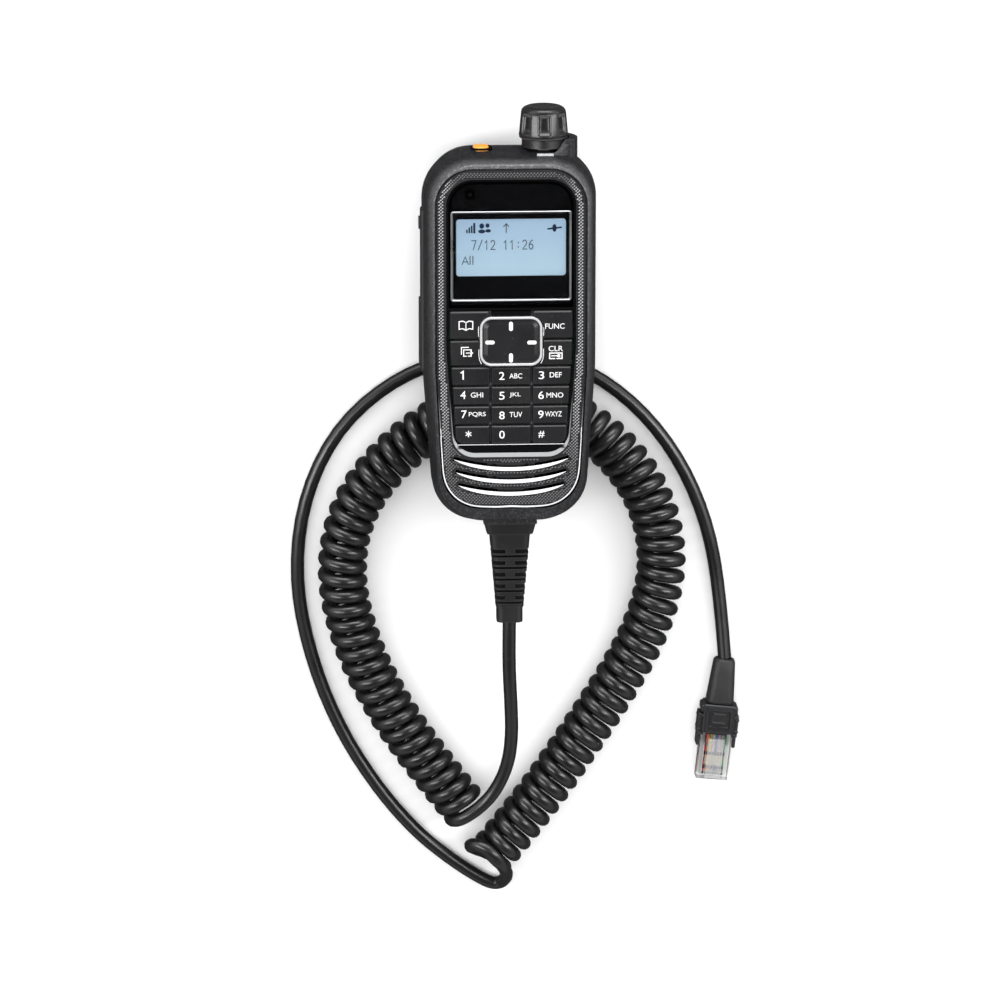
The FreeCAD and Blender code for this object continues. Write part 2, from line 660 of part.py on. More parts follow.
def build_stud():
    """The stud's face is plain: its screw comes from inside the case."""
    boss_top = "back_height + case_wall / 2 + stud_boss"
    blind_end = "stud_thick + 0.4"
    body = new_body("hanger_stud")
    revolve(body, "YZ_Plane", "0", [("0", "0", None), ("stud_radius - stud_bevel", "0", None),
                                    ("stud_radius", "stud_bevel", None),
                                    ("stud_radius", "stud_thick - stud_bevel", None),
                                    ("stud_radius - stud_bevel", "stud_thick", None),
                                    ("stud_neck", "stud_thick", None),
                                    ("stud_neck", "back_height", None),
                                    ("stud_screw", "back_height", None),
                                    ("stud_screw", blind_end, None), ("0", blind_end, None)])
    screw = new_body("hanger_screw")
    revolve(screw, "YZ_Plane", "0", [("0", f"{blind_end} + 0.2", None),
                                     ("stud_screw - 0.05", f"{blind_end} + 0.2", None),
                                     ("stud_screw - 0.05", boss_top, None),
                                     ("stud_screw + 1.5", boss_top, None),
                                     ("stud_screw + 1.5", f"{boss_top} + 1.5", None),
                                     ("0", f"{boss_top} + 1.5", None)])


# ---------------------------------------------------------------- bezel and window
def build_bezel():
    body = new_body("front_bezel")
    pad_outline(body, bezel_outline("0"), bezel_back, "bezel_thick")
    dress(body, "Chamfer", "0.3", level_edges(value(bezel_face)))
    loft(body, [(panel_face, panel_outline("0", "panel_bottom - panel_slope")),
                (bezel_face, panel_outline("0.25", "panel_bottom"))], subtract=True)
    cut_outline(body, window_outline("0"), f"{panel_face} - lens_thick", "lens_thick")
    cut_outline(body, window_outline("lens_lip"), bezel_back,
                f"{panel_face} - lens_thick - ({bezel_back})")
    keys = both_sides([(keypad_half, "-keypad_top", "0.6"),
                       (keypad_half, "-panel_taper", None),
                       (key_side("keypad_bottom"), "-keypad_bottom", "3")])
    cut_outline(body, keys, bezel_back, f"{panel_face} - ({bezel_back})")
    back = "slot_open + 0.3 - grille_bend"
    front = "0.3 - grille_bend"
    for number, half_length in enumerate(("first_slot_half", "second_slot_half", "third_slot_half")):
        sketch = body.newObject("Sketcher::SketchObject", "grille_slot")
        plane = [item for item in body.Origin.OriginFeatures if item.Role == "YZ_Plane"][0]
        sketch.AttachmentSupport = [(plane, "")]
        sketch.MapMode = "FlatFace"
        lip = f"grille_first + {number} * grille_pitch"
        sketch.setExpression("AttachmentOffset.Base.x", bound(f"grille_bend - ({lip})"))
        draw_outline(sketch, [(back, f"{bezel_face} + 1", None),
                              (back, f"{bezel_back} - 1", None),
                              (front, f"{bezel_back} - 1", None),
                              (front, f"{bezel_face} - 1.2", None),
                              (f"{front} - slot_lip", f"{bezel_face} + 0.1", None),
                              (f"{front} - slot_lip", f"{bezel_face} + 1", None)])
        before = body.Shape.Volume
        slot = body.newObject("PartDesign::Groove", "grille_cut")
        slot.Profile = sketch
        slot.ReferenceAxis = (sketch, ["V_Axis"])
        slot.Midplane = True
        slot.Angle = 2 * math.degrees(math.asin(value(half_length) / value("grille_bend")))
        doc.recompute()
        if not body.Shape.Volume < before - 1:
            raise RuntimeError("a grille slot cuts nothing")
    for x in ("-outer_rib", "-inner_rib", "inner_rib", "outer_rib"):
        pad_outline(body, box_corners(f"{x} - rib_width / 2", f"{x} + rib_width / 2",
                                      "-(grille_first + grille_pitch * 2.6)",
                                      "-(grille_first - grille_pitch * 0.9)"), bezel_back, "0.8")
    ring = new_sketch(body, "XY_Plane", f"{bezel_back} - 2.8")
    draw_circle(ring, "0", "-speaker_y", "speaker_radius + 1")
    draw_circle(ring, "0", "-speaker_y", "speaker_radius + 0.1")
    pad(body, ring, "2.8")


def build_window():
    body = new_body("window_lens")
    pad_outline(body, window_outline("lens_gap"), f"{panel_face} - lens_thick", "lens_thick")
    groove = new_sketch(body, "XY_Plane", f"{panel_face} - trim_sink")
    draw_outline(groove, trim_outline("0"))
    draw_outline(groove, trim_outline("trim_line"))
    pocket(body, groove, "trim_sink", reverse=True)
    cut_circles(body, [("-mic_x", "mic_y")], "mic_port - 0.1", f"{panel_face} - lens_thick", "lens_thick")
    trim = new_body("display_trim")
    ring = new_sketch(trim, "XY_Plane", f"{panel_face} - trim_sink")
    draw_outline(ring, trim_outline("0"))
    draw_outline(ring, trim_outline("trim_line"))
    pad(trim, ring, "trim_sink + trim_rise")


def trim_outline(inset):
    return box_corners(f"-(trim_half_width - ({inset}))", f"trim_half_width - ({inset})",
                       f"-(trim_bottom - ({inset}))", f"trim_top - ({inset})", "0.4")


def build_display():
    outline = box_corners("-glass_half_width", "glass_half_width", "-glass_bottom", "glass_top", "0.4")
    glass = new_body("display_glass")
    pad_outline(glass, outline, "board_front + light_thick", "glass_thick")
    light = new_body("display_backlight")
    pad_outline(light, outline, "board_front", "light_thick")


# ---------------------------------------------------------------- keypad
def key_piece(label, corners, beside_ring=False):
    """A key with a bevelled face; a side key is cut back round the silver ring."""
    body = new_body(label)
    pad_outline(body, corners, key_foot, "key_height")
    dress(body, "Chamfer", "key_edge", level_edges(value(key_face)))
    if beside_ring:
        cut_outline(body, nav_outline("-key_gap"), key_foot, "key_height")


def build_keypad():
    inner = "middle_column / 2 + key_gap / 2"
    row_height = "(keypad_bottom - digit_top) / 4"
    for side, names in ((-1, ("key_book", "key_list")), (1, ("key_function", "key_clear"))):
        tops = ("keypad_top", "side_key_split")
        lows = ("side_key_split", "digit_top")
        for name, top, low in zip(names, tops, lows):
            first = f"{top} + key_edge_gap" if top == "keypad_top" else f"{top} + key_gap / 2"
            last = f"{low} - key_gap / 2"
            corners = [(f"{key_side(first)} - key_edge_gap", f"-({first})", "0.5"),
                       ("side_key_reach", f"-({first})", "0.5"),
                       ("side_key_reach", f"-({last})", "0.5"),
                       (f"{key_side(last)} - key_edge_gap", f"-({last})", "0.5")]
            if side < 0:
                corners = [(f"-({x})", y, radius) for x, y, radius in reversed(corners)]
            key_piece(name, corners, beside_ring=True)
    names = (("key_1", "key_2", "key_3"), ("key_4", "key_5", "key_6"),
             ("key_7", "key_8", "key_9"), ("key_star", "key_0", "key_hash"))
    for row, labels in enumerate(names):
        first = f"digit_top + {row} * {row_height} + key_gap / 2"
        last = f"digit_top + {row + 1} * {row_height} - key_gap / 2"
        if row == 3:
            last = "keypad_bottom - key_edge_gap"
        foot = "2.5" if row == 3 else "0.5"
        right = [(f"{key_side(first)} - key_edge_gap", f"-({first})", "0.5"),
                 (inner, f"-({first})", "0.5"), (inner, f"-({last})", "0.5"),
                 (f"{key_side(last)} - key_edge_gap", f"-({last})", foot)]
        left = [(f"-({x})", y, radius) for x, y, radius in reversed(right)]
        middle = box_corners("-(middle_column - key_gap) / 2", "(middle_column - key_gap) / 2",
                             f"-({last})", f"-({first})", "0.5")
        for label, corners in zip(labels, (left, middle, right)):
            key_piece(label, corners)
    ring = new_body("nav_ring")
    ring_sketch = new_sketch(ring, "XY_Plane", switch_sheet_top)
    draw_outline(ring_sketch, nav_outline("0"))
    draw_outline(ring_sketch, nav_outline("ring_line"))
    pad(ring, ring_sketch, f"{key_face} + ring_rise - ({switch_sheet_top})")
    dress(ring, "Chamfer", "0.2", level_edges(value(f"{key_face} + ring_rise")))
    pad_body = new_body("nav_pad")
    pad_outline(pad_body, nav_outline("ring_line + pad_gap"), key_foot, "key_height - pad_drop")
    loft(pad_body, [(f"{key_face} - pad_drop", nav_outline("ring_line + pad_gap")),
                    (key_face, nav_outline("ring_line + pad_gap + pad_slope"))])
    mask = new_body("nav_mask")
    pad_outline(mask, [("mask_half_width", "-(keypad_top + key_edge_gap)", "0.3"),
                       ("-mask_half_width", "-(keypad_top + key_edge_gap)", "0.3"),
                       ("-(mask_half_width - 0.5)", "-(nav_top - 0.3)", "0.3"),
                       ("mask_half_width - 0.5", "-(nav_top - 0.3)", "0.3")],
                switch_sheet_top, f"{key_face} - 0.3 - ({switch_sheet_top})")
    rubber = new_body("switch_sheet")
    pad_outline(rubber, box_corners("-(board_post_x - board_post_radius - 0.6)",
                                    "board_post_x - board_post_radius - 0.6",
                                    "-(keypad_bottom - 0.4)", "-(keypad_top + 0.8)", "1.5"),
                "board_front", f"{switch_sheet_top} - board_front")


def nav_outline(inset):
    return box_corners(f"-(nav_half_width - ({inset}))", f"nav_half_width - ({inset})",
                       f"-(nav_bottom - ({inset}))", f"-(nav_top + ({inset}))",
                       f"nav_corner - ({inset})")


# ---------------------------------------------------------------- inside
def block(label, low_x, high_x, low_y, high_y, low_z, high_z):
    """A plain inner piece made from a box primitive."""
    piece = doc.addObject("Part::Box", label)
    piece.Label = label
    for name, low, high in (("Length", low_x, high_x), ("Width", low_y, high_y),
                            ("Height", low_z, high_z)):
        piece.setExpression(name, bound(f"({high}) - ({low})"))
    for axis, low in (("x", low_x), ("y", low_y), ("z", low_z)):
        piece.setExpression(f"Placement.Base.{axis}", bound(low))
    return piece


def rod(label, x, y, low, radius, length):
    piece = doc.addObject("Part::Cylinder", label)
    piece.setExpression("Radius", bound(radius))
    piece.setExpression("Height", bound(length))
    for axis, place in (("x", x), ("y", y), ("z", low)):
        piece.setExpression(f"Placement.Base.{axis}", bound(place))
    return piece


def screw_group(label, screws, head_radius, shaft_radius):
    """Pan-head screws as one group: each is (x, y, head bottom, head thickness, length)."""
    group = []
    for x, y, low, thick, length in screws:
        head = rod("screw_head", x, y, low, head_radius, thick)
        socket = doc.addObject("Part::Prism", "screw_socket")
        socket.Polygon = 6
        socket.setExpression("Circumradius", bound(f"({head_radius}) * 0.5"))
        socket.setExpression("Height", bound(f"({thick}) * 0.5"))
        for axis, place in (("x", x), ("y", y), ("z", low)):
            socket.setExpression(f"Placement.Base.{axis}", bound(place))
        cup = doc.addObject("Part::Cut", "screw_cup")
        cup.Base, cup.Tool = head, socket
        shaft = rod("screw_shaft", x, y, f"({low}) + ({thick}) * 0.75", shaft_radius,
                    f"({length}) - ({thick}) * 0.75")
        whole = doc.addObject("Part::Fuse", "screw")
        whole.Base, whole.Tool = cup, shaft
        group.append(whole)
    compound = doc.addObject("Part::Compound", label)
    compound.Label = label
    compound.Links = group
    doc.recompute()
    pieces.append(compound)


def build_inside():
    board = new_body("main_board")
    pad_outline(board, both_sides([("board_neck", "board_top", "1"),
                                   ("board_neck", "board_shoulder", "1"),
                                   ("board_half_width", "board_shoulder", "1"),
                                   ("board_half_width", "-board_bottom", "2")]),
                board_back, "board_thick")
    board_posts = [(x, y) for x in ("board_post_x", "-board_post_x")
                   for y in ("board_post_top", "-board_post_bottom")]
    cut_circles(board, board_posts, "board_screw + 0.15", board_back, "board_thick")
    screw_group("board_screws", [(x, y, f"{board_back} - 1.2", "1.2", "4.2") for x, y in board_posts],
                "board_screw * 2", "board_screw")
    case_screws = [(x, "case_post_y", "back_height + 1.2", "head_thick", "24")
                   for x in ("case_post_x", "-case_post_x")]
    case_screws += [(x, "-case_toe_post_y", "thin_back_height + 0.8", "head_thick", "14")
                    for x in ("case_toe_post_x", "-case_toe_post_x")]
    screw_group("case_screws", case_screws, "screw_head", "case_screw")

    speaker = new_body("speaker")
    face = f"{bezel_back} - 0.5"
    pad_circles(speaker, [("0", "-speaker_y")], "speaker_radius", f"{face} - 2", "2")
    pad_circles(speaker, [("0", "-speaker_y")], "speaker_radius - 3.5", f"{face} - speaker_thick",
                "speaker_thick - 2")
    cut_circles(speaker, [("0", "-speaker_y")], "speaker_radius - 1.5", f"{face} - 0.8", "0.8")
    cloth = new_body("speaker_cloth")
    pad_circles(cloth, [("0", "-speaker_y")], "speaker_radius", face, "0.5")

    boot = new_body("microphone_boot")
    boot_top = f"{panel_face} - lens_thick"
    pad_circles(boot, [("-mic_x", "mic_y")], "mic_radius + boot_wall", "board_front",
                f"{bezel_back} - 0.3 - board_front")
    pad_circles(boot, [("-mic_x", "mic_y")], "mic_port + boot_wall", "board_front",
                f"{boot_top} - board_front")
    cut_circles(boot, [("-mic_x", "mic_y")], "mic_radius", "board_front", "3")
    cut_circles(boot, [("-mic_x", "mic_y")], "mic_port", "board_front", f"{boot_top} - board_front")
    element = new_body("microphone_element")
    pad_circles(element, [("-mic_x", "mic_y")], "mic_radius - 0.1", "board_front", "2.7")

    pieces.append(block("talk_switch", "-(case_half_width - case_wall - 3.9)", "-(case_half_width - 12)", "-19",
                        "-12", "talk_low + 2", board_back))
    pieces.append(block("alarm_switch", "-(alarm_x + 3)", "-(alarm_x - 3)", "board_top - 6.5",
                        f"{alarm_seat} - alarm_flange - alarm_travel - 0.1", "knob_z - 3", board_back))
    pieces.append(block("indicator_led", "lamp_x - 1", "lamp_x + 1", "board_top - 2.2",
                        "board_top - 0.2", f"{board_back} - 0.8", board_back))
    pieces.append(block("cord_connector", "-5", "5", "-(board_bottom - 3)", "-(board_bottom - 9)",
                        f"{board_back} - 4.5", board_back))
    clamp = new_body("cord_clamp")
    pad_outline(clamp, box_corners("-6", "6", "thin_back_height + case_wall", "relief_z + 2.9", "0.8"),
                "case_bottom - 13.5", "4", role="XZ_Plane")
    cut_circles(clamp, [("0", "relief_z")], "cord_diameter / 2 + 0.05", "case_bottom - 13.5", "4",
                role="XZ_Plane")


# ---------------------------------------------------------------- controls
def place_at(body, x, y, z):
    for axis, spot in (("x", x), ("y", y), ("z", z)):
        body.setExpression(f"Placement.Base.{axis}", bound(spot))


def build_knob():
    knob = new_body("volume_knob")
    revolve(knob, "XY_Plane", "0", [("shaft_radius", "0", None),
                                    ("knob_radius - 0.5", "0", None),
                                    ("knob_radius", "0.6", None),
                                    ("knob_radius", "1.8", None),
                                    ("knob_top_radius", "knob_height - 2.4", None),
                                    ("knob_top_radius - 1.1", "knob_height - 0.7", None),
                                    ("knob_top_radius - 2.9", "knob_height", None),
                                    ("knob_top_radius - 3.3", "knob_height - 0.35", None),
                                    ("0", "knob_height - 0.35", None),
                                    ("0", "knob_height - 3", None),
                                    ("shaft_radius", "knob_height - 3", None)])
    flute = new_sketch(knob, "XZ_Plane", "-(knob_height - 2)")
    draw_circle(flute, "0", "knob_radius + 0.9", "2.1")
    cut = pocket(knob, flute, "knob_height - 4.4", reverse=True)
    pattern = knob.newObject("PartDesign::PolarPattern", "flutes")
    pattern.Originals = [cut]
    pattern.Axis = (flute, ["N_Axis"])
    pattern.Angle = 360
    pattern.Occurrences = 7
    knob.Tip = pattern
    doc.recompute()
    place_at(knob, "knob_x", "knob_start", "knob_z")

    shaft = new_body("encoder_shaft")
    pad_circles(shaft, [("0", "0")], "shaft_radius", "-(knob_start + knob_height - 3)",
                "knob_start + knob_height - 3 - (case_top - 8)", role="XZ_Plane")
    place_at(shaft, "knob_x", "0", "knob_z")
    encoder = new_body("encoder")
    reach = "case_top - case_wall - encoder_drop"
    half = "encoder_size / 2"
    pad_outline(encoder, box_corners(f"-{half}", half, f"-{half}", half, "0.5"), f"-({reach})",
                "encoder_length", role="XZ_Plane")
    pad_circles(encoder, [("0", "0")], "bush_radius", "-(knob_start - 0.5)",
                f"knob_start - 0.5 - ({reach}) + 1", role="XZ_Plane")
    cut_circles(encoder, [("0", "0")], "shaft_radius + shaft_clear", "-(knob_start - 0.5)",
                "knob_start - 0.5 - (case_top - 8) + 0.3", role="XZ_Plane")
    place_at(encoder, "knob_x", "0", "knob_z")
    collar = new_body("knob_collar")
    pad_circles(collar, [("0", "0")], "collar_radius", "-(knob_start - 0.3)",
                "knob_start - 0.3 - case_top", role="XZ_Plane")
    cut_circles(collar, [("0", "0")], "bush_radius", "-(knob_start - 0.3)",
                "knob_start - 0.3 - case_top", role="XZ_Plane")
    place_at(collar, "knob_x", "0", "knob_z")


def build_buttons():
    alarm = new_body("alarm_button")
    face = "case_top + alarm_rise"
    pad_outline(alarm, box_corners("-(alarm_x + alarm_half_width)", "-(alarm_x - alarm_half_width)",
                                   "knob_z - alarm_half_length", "knob_z + alarm_half_length", "1.1"),
                f"-({face})", f"{face} - ({alarm_seat})", role="XZ_Plane")
    flange = "alarm_gap + 0.8"
    pad_outline(alarm, box_corners(f"-(alarm_x + alarm_half_width + {flange})",
                                   f"-(alarm_x - alarm_half_width - {flange})",
                                   f"knob_z - alarm_half_length - {flange}",
                                   f"knob_z + alarm_half_length + {flange}", "1"),
                f"-({alarm_seat})", "alarm_flange", role="XZ_Plane")
    dress(alarm, "Fillet", "0.5", lambda edge: abs(edge.BoundBox.YMin - value(face)) < 1e-4)

    talk = new_body("talk_key")
    outer = "-(case_half_width + talk_rise)"
    stem = "talk_rise + case_wall + talk_room"
    pad_outline(talk, box_corners("-talk_bottom", "talk_top", "talk_low", "talk_high", "2.2"),
                outer, stem, role="YZ_Plane")
    dress(talk, "Fillet", "0.9", lambda edge: abs(edge.BoundBox.XMax - value(outer)) < 1e-4)
    pad_outline(talk, box_corners("-(talk_bottom + talk_flange)", "talk_top + talk_flange",
                                  "talk_low - talk_flange", "talk_high + talk_flange", "3"),
                f"{outer} + {stem}", "0.8", role="YZ_Plane")
    for low, high in (("-(talk_bottom - 2.2)", "-14"), ("talk_top - 7.5", "talk_top - 3.2")):
        pad_outline(talk, box_corners(low, high, "talk_low + 2.2", "talk_high - 2.2", "1.5"),
                    f"{outer} - talk_pad", "talk_pad + 0.2", role="YZ_Plane")
    lamp = new_body("indicator_window")
    pad_outline(lamp, box_corners("lamp_x - lamp_half_width", "lamp_x + lamp_half_width",
                                  "lamp_low", "lamp_high"),
                "-(case_top - 1.4)", "case_top - 1.4 - (board_top + 0.3)", role="XZ_Plane")


# ---------------------------------------------------------------- cord fittings
def build_relief():
    body = new_body("strain_relief")
    sections = (("case_bottom + 0.1", "collar_width / 2", "collar_depth / 2"),
                ("collar_end", "collar_end_width / 2", "collar_end_depth / 2"))
    loft(body, [(place, relief_section(half, deep)) for place, half, deep in sections], "XZ_Plane")
    ring_start = "relief_end - tip_ring"
    sections = (("collar_end", "relief_width / 2", "relief_depth / 2"),
                (ring_start, "relief_tip_width / 2 + 0.3", "relief_tip_depth / 2 + 0.2"))
    loft(body, [(place, relief_section(half, deep)) for place, half, deep in sections], "XZ_Plane")
    pad_outline(body, relief_section("relief_tip_width / 2", "relief_tip_depth / 2"),
                ring_start, "tip_ring", role="XZ_Plane")
    pad_outline(body, box_corners("-neck_width / 2", "neck_width / 2", "split_height + 0.1",
                                  "relief_z + neck_rise", "1"),
                "case_bottom - 5.2", "5.4", role="XZ_Plane")
    pad_outline(body, box_corners("-(neck_width / 2 + 1.6)", "neck_width / 2 + 1.6",
                                  "split_height + 0.1", "relief_z + neck_rise - 1.1", "1"),
                "case_bottom - 6.7", "1.5", role="XZ_Plane")
    pad_circles(body, [("0", "relief_z")], "cord_diameter / 2", "case_bottom - 15", "9",
                role="XZ_Plane")
    count = int(value("slot_count"))
    sides = new_sketch(body, "XY_Plane", "relief_z")
    faces = new_sketch(body, "YZ_Plane", "0")
    for number in range(count):
        start = f"collar_end + 5.6 + {number} * slot_pitch"
        low, high = f"-({start} + slot_width)", f"-({start})"
        draw_outline(sides, box_corners("relief_web / 2", "relief_width", low, high))
        draw_outline(sides, box_corners("-relief_width", "-relief_web / 2", low, high))
        middle = f"{start} + slot_pitch / 2"
        low, high = f"-({middle} + slot_width * 0.6)", f"-({middle})"
        draw_outline(faces, box_corners(low, high, "relief_z + relief_web / 2",
                                        "relief_z + relief_depth"))
        draw_outline(faces, box_corners(low, high, "relief_z - relief_depth",
                                        "relief_z - relief_web / 2"))
    pocket(body, sides, "relief_depth * 2", middle=True)
    pocket(body, faces, "relief_width * 2", middle=True)


def relief_section(half, deep):
    return box_corners(f"-({half})", half, f"relief_z - ({deep})", f"relief_z + ({deep})", "2.4")


def rounded_path(points):
    """Straight runs joined by tangent arcs; each arc takes 0.45 of the shorter run beside it."""
    spots = [Vector(*point) for point in points]
    edges, radii = [], []
    last = spots[0]
    for before, here, after in zip(spots, spots[1:], spots[2:]):
        back, ahead = before - here, after - here
        reach = 0.45 * min(back.Length, ahead.Length)
        half_turn = (math.pi - back.getAngle(ahead)) / 2
        radius = reach / math.tan(half_turn)
        back.normalize()
        ahead.normalize()
        start, end = here + back * reach, here + ahead * reach
        inward = (back + ahead).normalize()
        centre = here + inward * (radius / math.cos(half_turn))
        middle = centre - inward * radius
        edges.append(Part.LineSegment(last, start).toShape())
        edges.append(Part.Arc(start, middle, end).toShape())
        radii.append(radius)
        last = end
    edges.append(Part.LineSegment(last, spots[-1]).toShape())
    return Part.Wire(edges), radii


def tube(label, points, diameter):
    path, radii = rounded_path(points)
    start = path.Edges[0].Vertexes[0].Point
    ahead = Vector(*points[1]) - Vector(*points[0])
    ring = Part.Wire([Part.makeCircle(diameter / 2, start, ahead)])
    solid = path.makePipeShell([ring], True, False)
    wanted = math.pi * diameter ** 2 / 4 * path.Length
    if abs(solid.Volume / wanted - 1) > 0.01:
        raise RuntimeError(f"{label}: volume {solid.Volume:.0f}, section times length {wanted:.0f}")
    piece = doc.addObject("Part::Feature", label)
    piece.Label = label
    piece.Shape = solid
    pieces.append(piece)
    print(f"{label}: length {path.Length:.1f}, arc radii",
          " ".join(f"{radius:.0f}" for radius in radii))


def build_cord():
    """The curls lie on the surface in a loop that passes under the thin half of the housing;
    a plain lead joins them to the strain relief and another, outside the loop, to the plug."""
    cord = value("cord_diameter")
    curl = value("curl_diameter")
    low, mid, top = cord / 2 + 0.05, curl / 2, curl - cord / 2
    lead_in = [(0, -value("relief_end"), value("relief_z")), (-0.1, -140, 31), (0, -152, 29.6),
               (0.9, -166, 26), (1.5, -179.5, 21.4), (0.2, -191.5, 18.2), (-4, -201.5, top + 0.6),
               (-9, -207.5, top)]
    curls = [(-14.4, -211.4), (-28, -194), (-43.5, -171), (-55, -147), (-61, -121), (-56.5, -96),
             (-41, -75.5), (-20, -60.5), (1.5, -55.5), (23, -61.5), (42, -76.5), (54.5, -97),
             (57.8, -120.5), (51.5, -143.5), (39, -166), (24, -189), (9, -211), (-6.5, -230)]
    lead_out = [(0.5, -234.5), (-4.5, -240.5), (-12.5, -237.6), (-22, -230.8), (-33.5, -220.8),
                (-47, -204.5), (-61, -181.5), (-71.5, -154), (-77, -124.5), (-74, -95), (-62, -68.5),
                (-41.5, -50), (-18, -41), (2, -39), (24, -43.5), (46, -58), (63, -79),
                (74, -104), (79, -131)]
    tube("lead_in", lead_in, cord)
    tube("curly_cord", [(x, y, mid) for x, y in curls], curl)
    end = (value("plug_x"), -value("plug_y"), value("plug_z"))
    tube("lead_out", [(x, y, low) for x, y in lead_out] + [end], cord)


# ---------------------------------------------------------------- plug
def place_plug(body):
    place_at(body, "plug_x", "-plug_y", "plug_z")
    body.setExpression("Placement.Rotation.Angle", "Sheet.plug_turn")
    body.Placement.Rotation.Axis = Vector(0, 0, 1)


def build_plug():
    boot = new_body("plug_boot")
    sections = (("0", "3.8", "3.8"), ("boot_length", "5", "4.6"))
    loft(boot, [(place, box_corners(f"-{half}", half, f"-{deep}", deep, "2.2"))
                for place, half, deep in sections], "XZ_Plane")
    cover = new_body("plug_cover")
    cover_corners = box_corners("-cover_half_width", "cover_half_width", "-cover_low", "cover_high", "1.6")
    pad_outline(cover, cover_corners, "boot_length", "cover_length", role="XZ_Plane")
    cut_outline(cover, box_corners("-(plug_half_width + 0.1)", "plug_half_width + 0.1",
                                   "-(plug_low + 0.1)", "cover_high - 1"),
                "boot_length + 2", "cover_length - 2", role="XZ_Plane")
    pad_outline(cover, box_corners("-3.4", "3.4", "-(boot_length + cover_length - 2)",
                                   "-(boot_length + 4)", "0.8"), "cover_high - 0.2", "1")
    body = new_body("plug_body")
    start = "plug_end - plug_length"
    pad_outline(body, box_corners("-plug_half_width", "plug_half_width", "-plug_low", "plug_high", "0.3"),
                start, "plug_length", role="XZ_Plane")
    wires = [(f"({number} - 3.5) * contact_pitch", "0.4") for number in range(8)]
    cut_circles(body, wires, "0.47", start, "plug_length - 2.5", role="XZ_Plane")
    for x, height in wires:
        cut_outline(body, box_corners(f"{x} - 0.2", f"{x} + 0.2", "-plug_low", "-0.07"),
                    "plug_end - 7", "6", role="XZ_Plane")
    strands = []
    blades = []
    for number, (x, height) in enumerate(wires):
        strand = doc.addObject("Part::Cylinder", "strand")
        strand.setExpression("Radius", bound("0.45"))
        strand.setExpression("Height", bound("plug_length - 2.7"))
        strand.Placement = FreeCAD.Placement(Vector(0, 0, 0), FreeCAD.Rotation(Vector(1, 0, 0), 90))
        for axis, place in (("x", x), ("y", f"-({start})"), ("z", "0.4")):
            strand.setExpression(f"Placement.Base.{axis}", bound(place))
        strands.append(strand)
        blades.append(block("blade", f"{x} - 0.16", f"{x} + 0.16", "-(plug_end - 1.3)",
                            "-(plug_end - 6.6)", "-(plug_low - 0.25)", "-0.1"))
    for label, members in (("plug_wires", strands), ("plug_contacts", blades)):
        group = doc.addObject("Part::Compound", label)
        group.Label = label
        group.Links = members
        doc.recompute()
        pieces.append(group)
        place_plug(group)
    latch = new_body("plug_latch")
    profile = new_sketch(latch, "YZ_Plane", "0")
    draw_outline(profile, [("-(plug_end - 0.4)", "plug_high + 0.05", None),
                           ("-(plug_end - 2.4)", "plug_high + 0.25", None),
                           ("-(boot_length + cover_length - 3)", "plug_high + 1.2", None),
                           ("-(boot_length + cover_length - 3)", "plug_high + 1.9", None),
                           ("-(plug_end - 1.6)", "plug_high + 1.1", None),
                           ("-(plug_end - 0.4)", "plug_high + 0.6", None)])
    pad(latch, profile, "6", middle=True)
    for piece in (boot, cover, body, latch):
        place_plug(piece)


# ---------------------------------------------------------------- build, check and write
for build in (build_rear_case, build_front_case, build_stud, build_bezel, build_window,
              build_display, build_keypad, build_inside, build_knob, build_buttons,
              build_relief, build_cord, build_plug):
    build()

doc.recompute()
for item in doc.Objects:
    if "Invalid" in item.State or "Error" in item.State:
        raise RuntimeError(f"{item.Name} did not recompute: {item.State}")
for piece in pieces:
    if piece.Shape.isNull() or not piece.Shape.isValid():
        raise RuntimeError(f"{piece.Label} has no valid shape")

os.makedirs("parts", exist_ok=True)
for piece in pieces:
    piece.Shape.exportStep(f"parts/{piece.Label}.step")
print(len(pieces), "pieces written")
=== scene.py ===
import math

import bmesh
import bpy
from mathutils import Matrix, Vector
from mathutils.bvhtree import BVHTree


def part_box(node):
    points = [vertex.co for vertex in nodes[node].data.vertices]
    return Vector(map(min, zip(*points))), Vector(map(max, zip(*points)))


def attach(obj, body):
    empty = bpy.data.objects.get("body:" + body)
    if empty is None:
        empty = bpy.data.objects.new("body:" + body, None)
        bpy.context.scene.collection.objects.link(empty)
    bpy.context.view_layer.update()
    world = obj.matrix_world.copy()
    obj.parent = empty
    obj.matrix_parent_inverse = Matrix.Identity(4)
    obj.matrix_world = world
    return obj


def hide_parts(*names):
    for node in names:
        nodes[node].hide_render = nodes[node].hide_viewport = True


# A hand microphone's looks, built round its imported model. Lengths are in metres.
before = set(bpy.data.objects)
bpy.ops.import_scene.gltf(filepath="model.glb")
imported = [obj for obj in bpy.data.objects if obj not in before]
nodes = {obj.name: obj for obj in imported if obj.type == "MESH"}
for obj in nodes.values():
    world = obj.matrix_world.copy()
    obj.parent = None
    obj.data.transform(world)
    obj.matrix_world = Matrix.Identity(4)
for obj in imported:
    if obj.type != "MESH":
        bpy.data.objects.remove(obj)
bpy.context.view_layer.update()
mm = 0.001
print("frame loaded,", len(nodes), "nodes")

# camera: looks down on the microphone, tilted a little towards its lower end
cameraValues = {
    "target": (-0.0028, -0.0909, 0.020),
    "distance": 2.0,
    "focalLength": 199.04,
    "tilt": 14.0,
    "turn": -3.0,
}


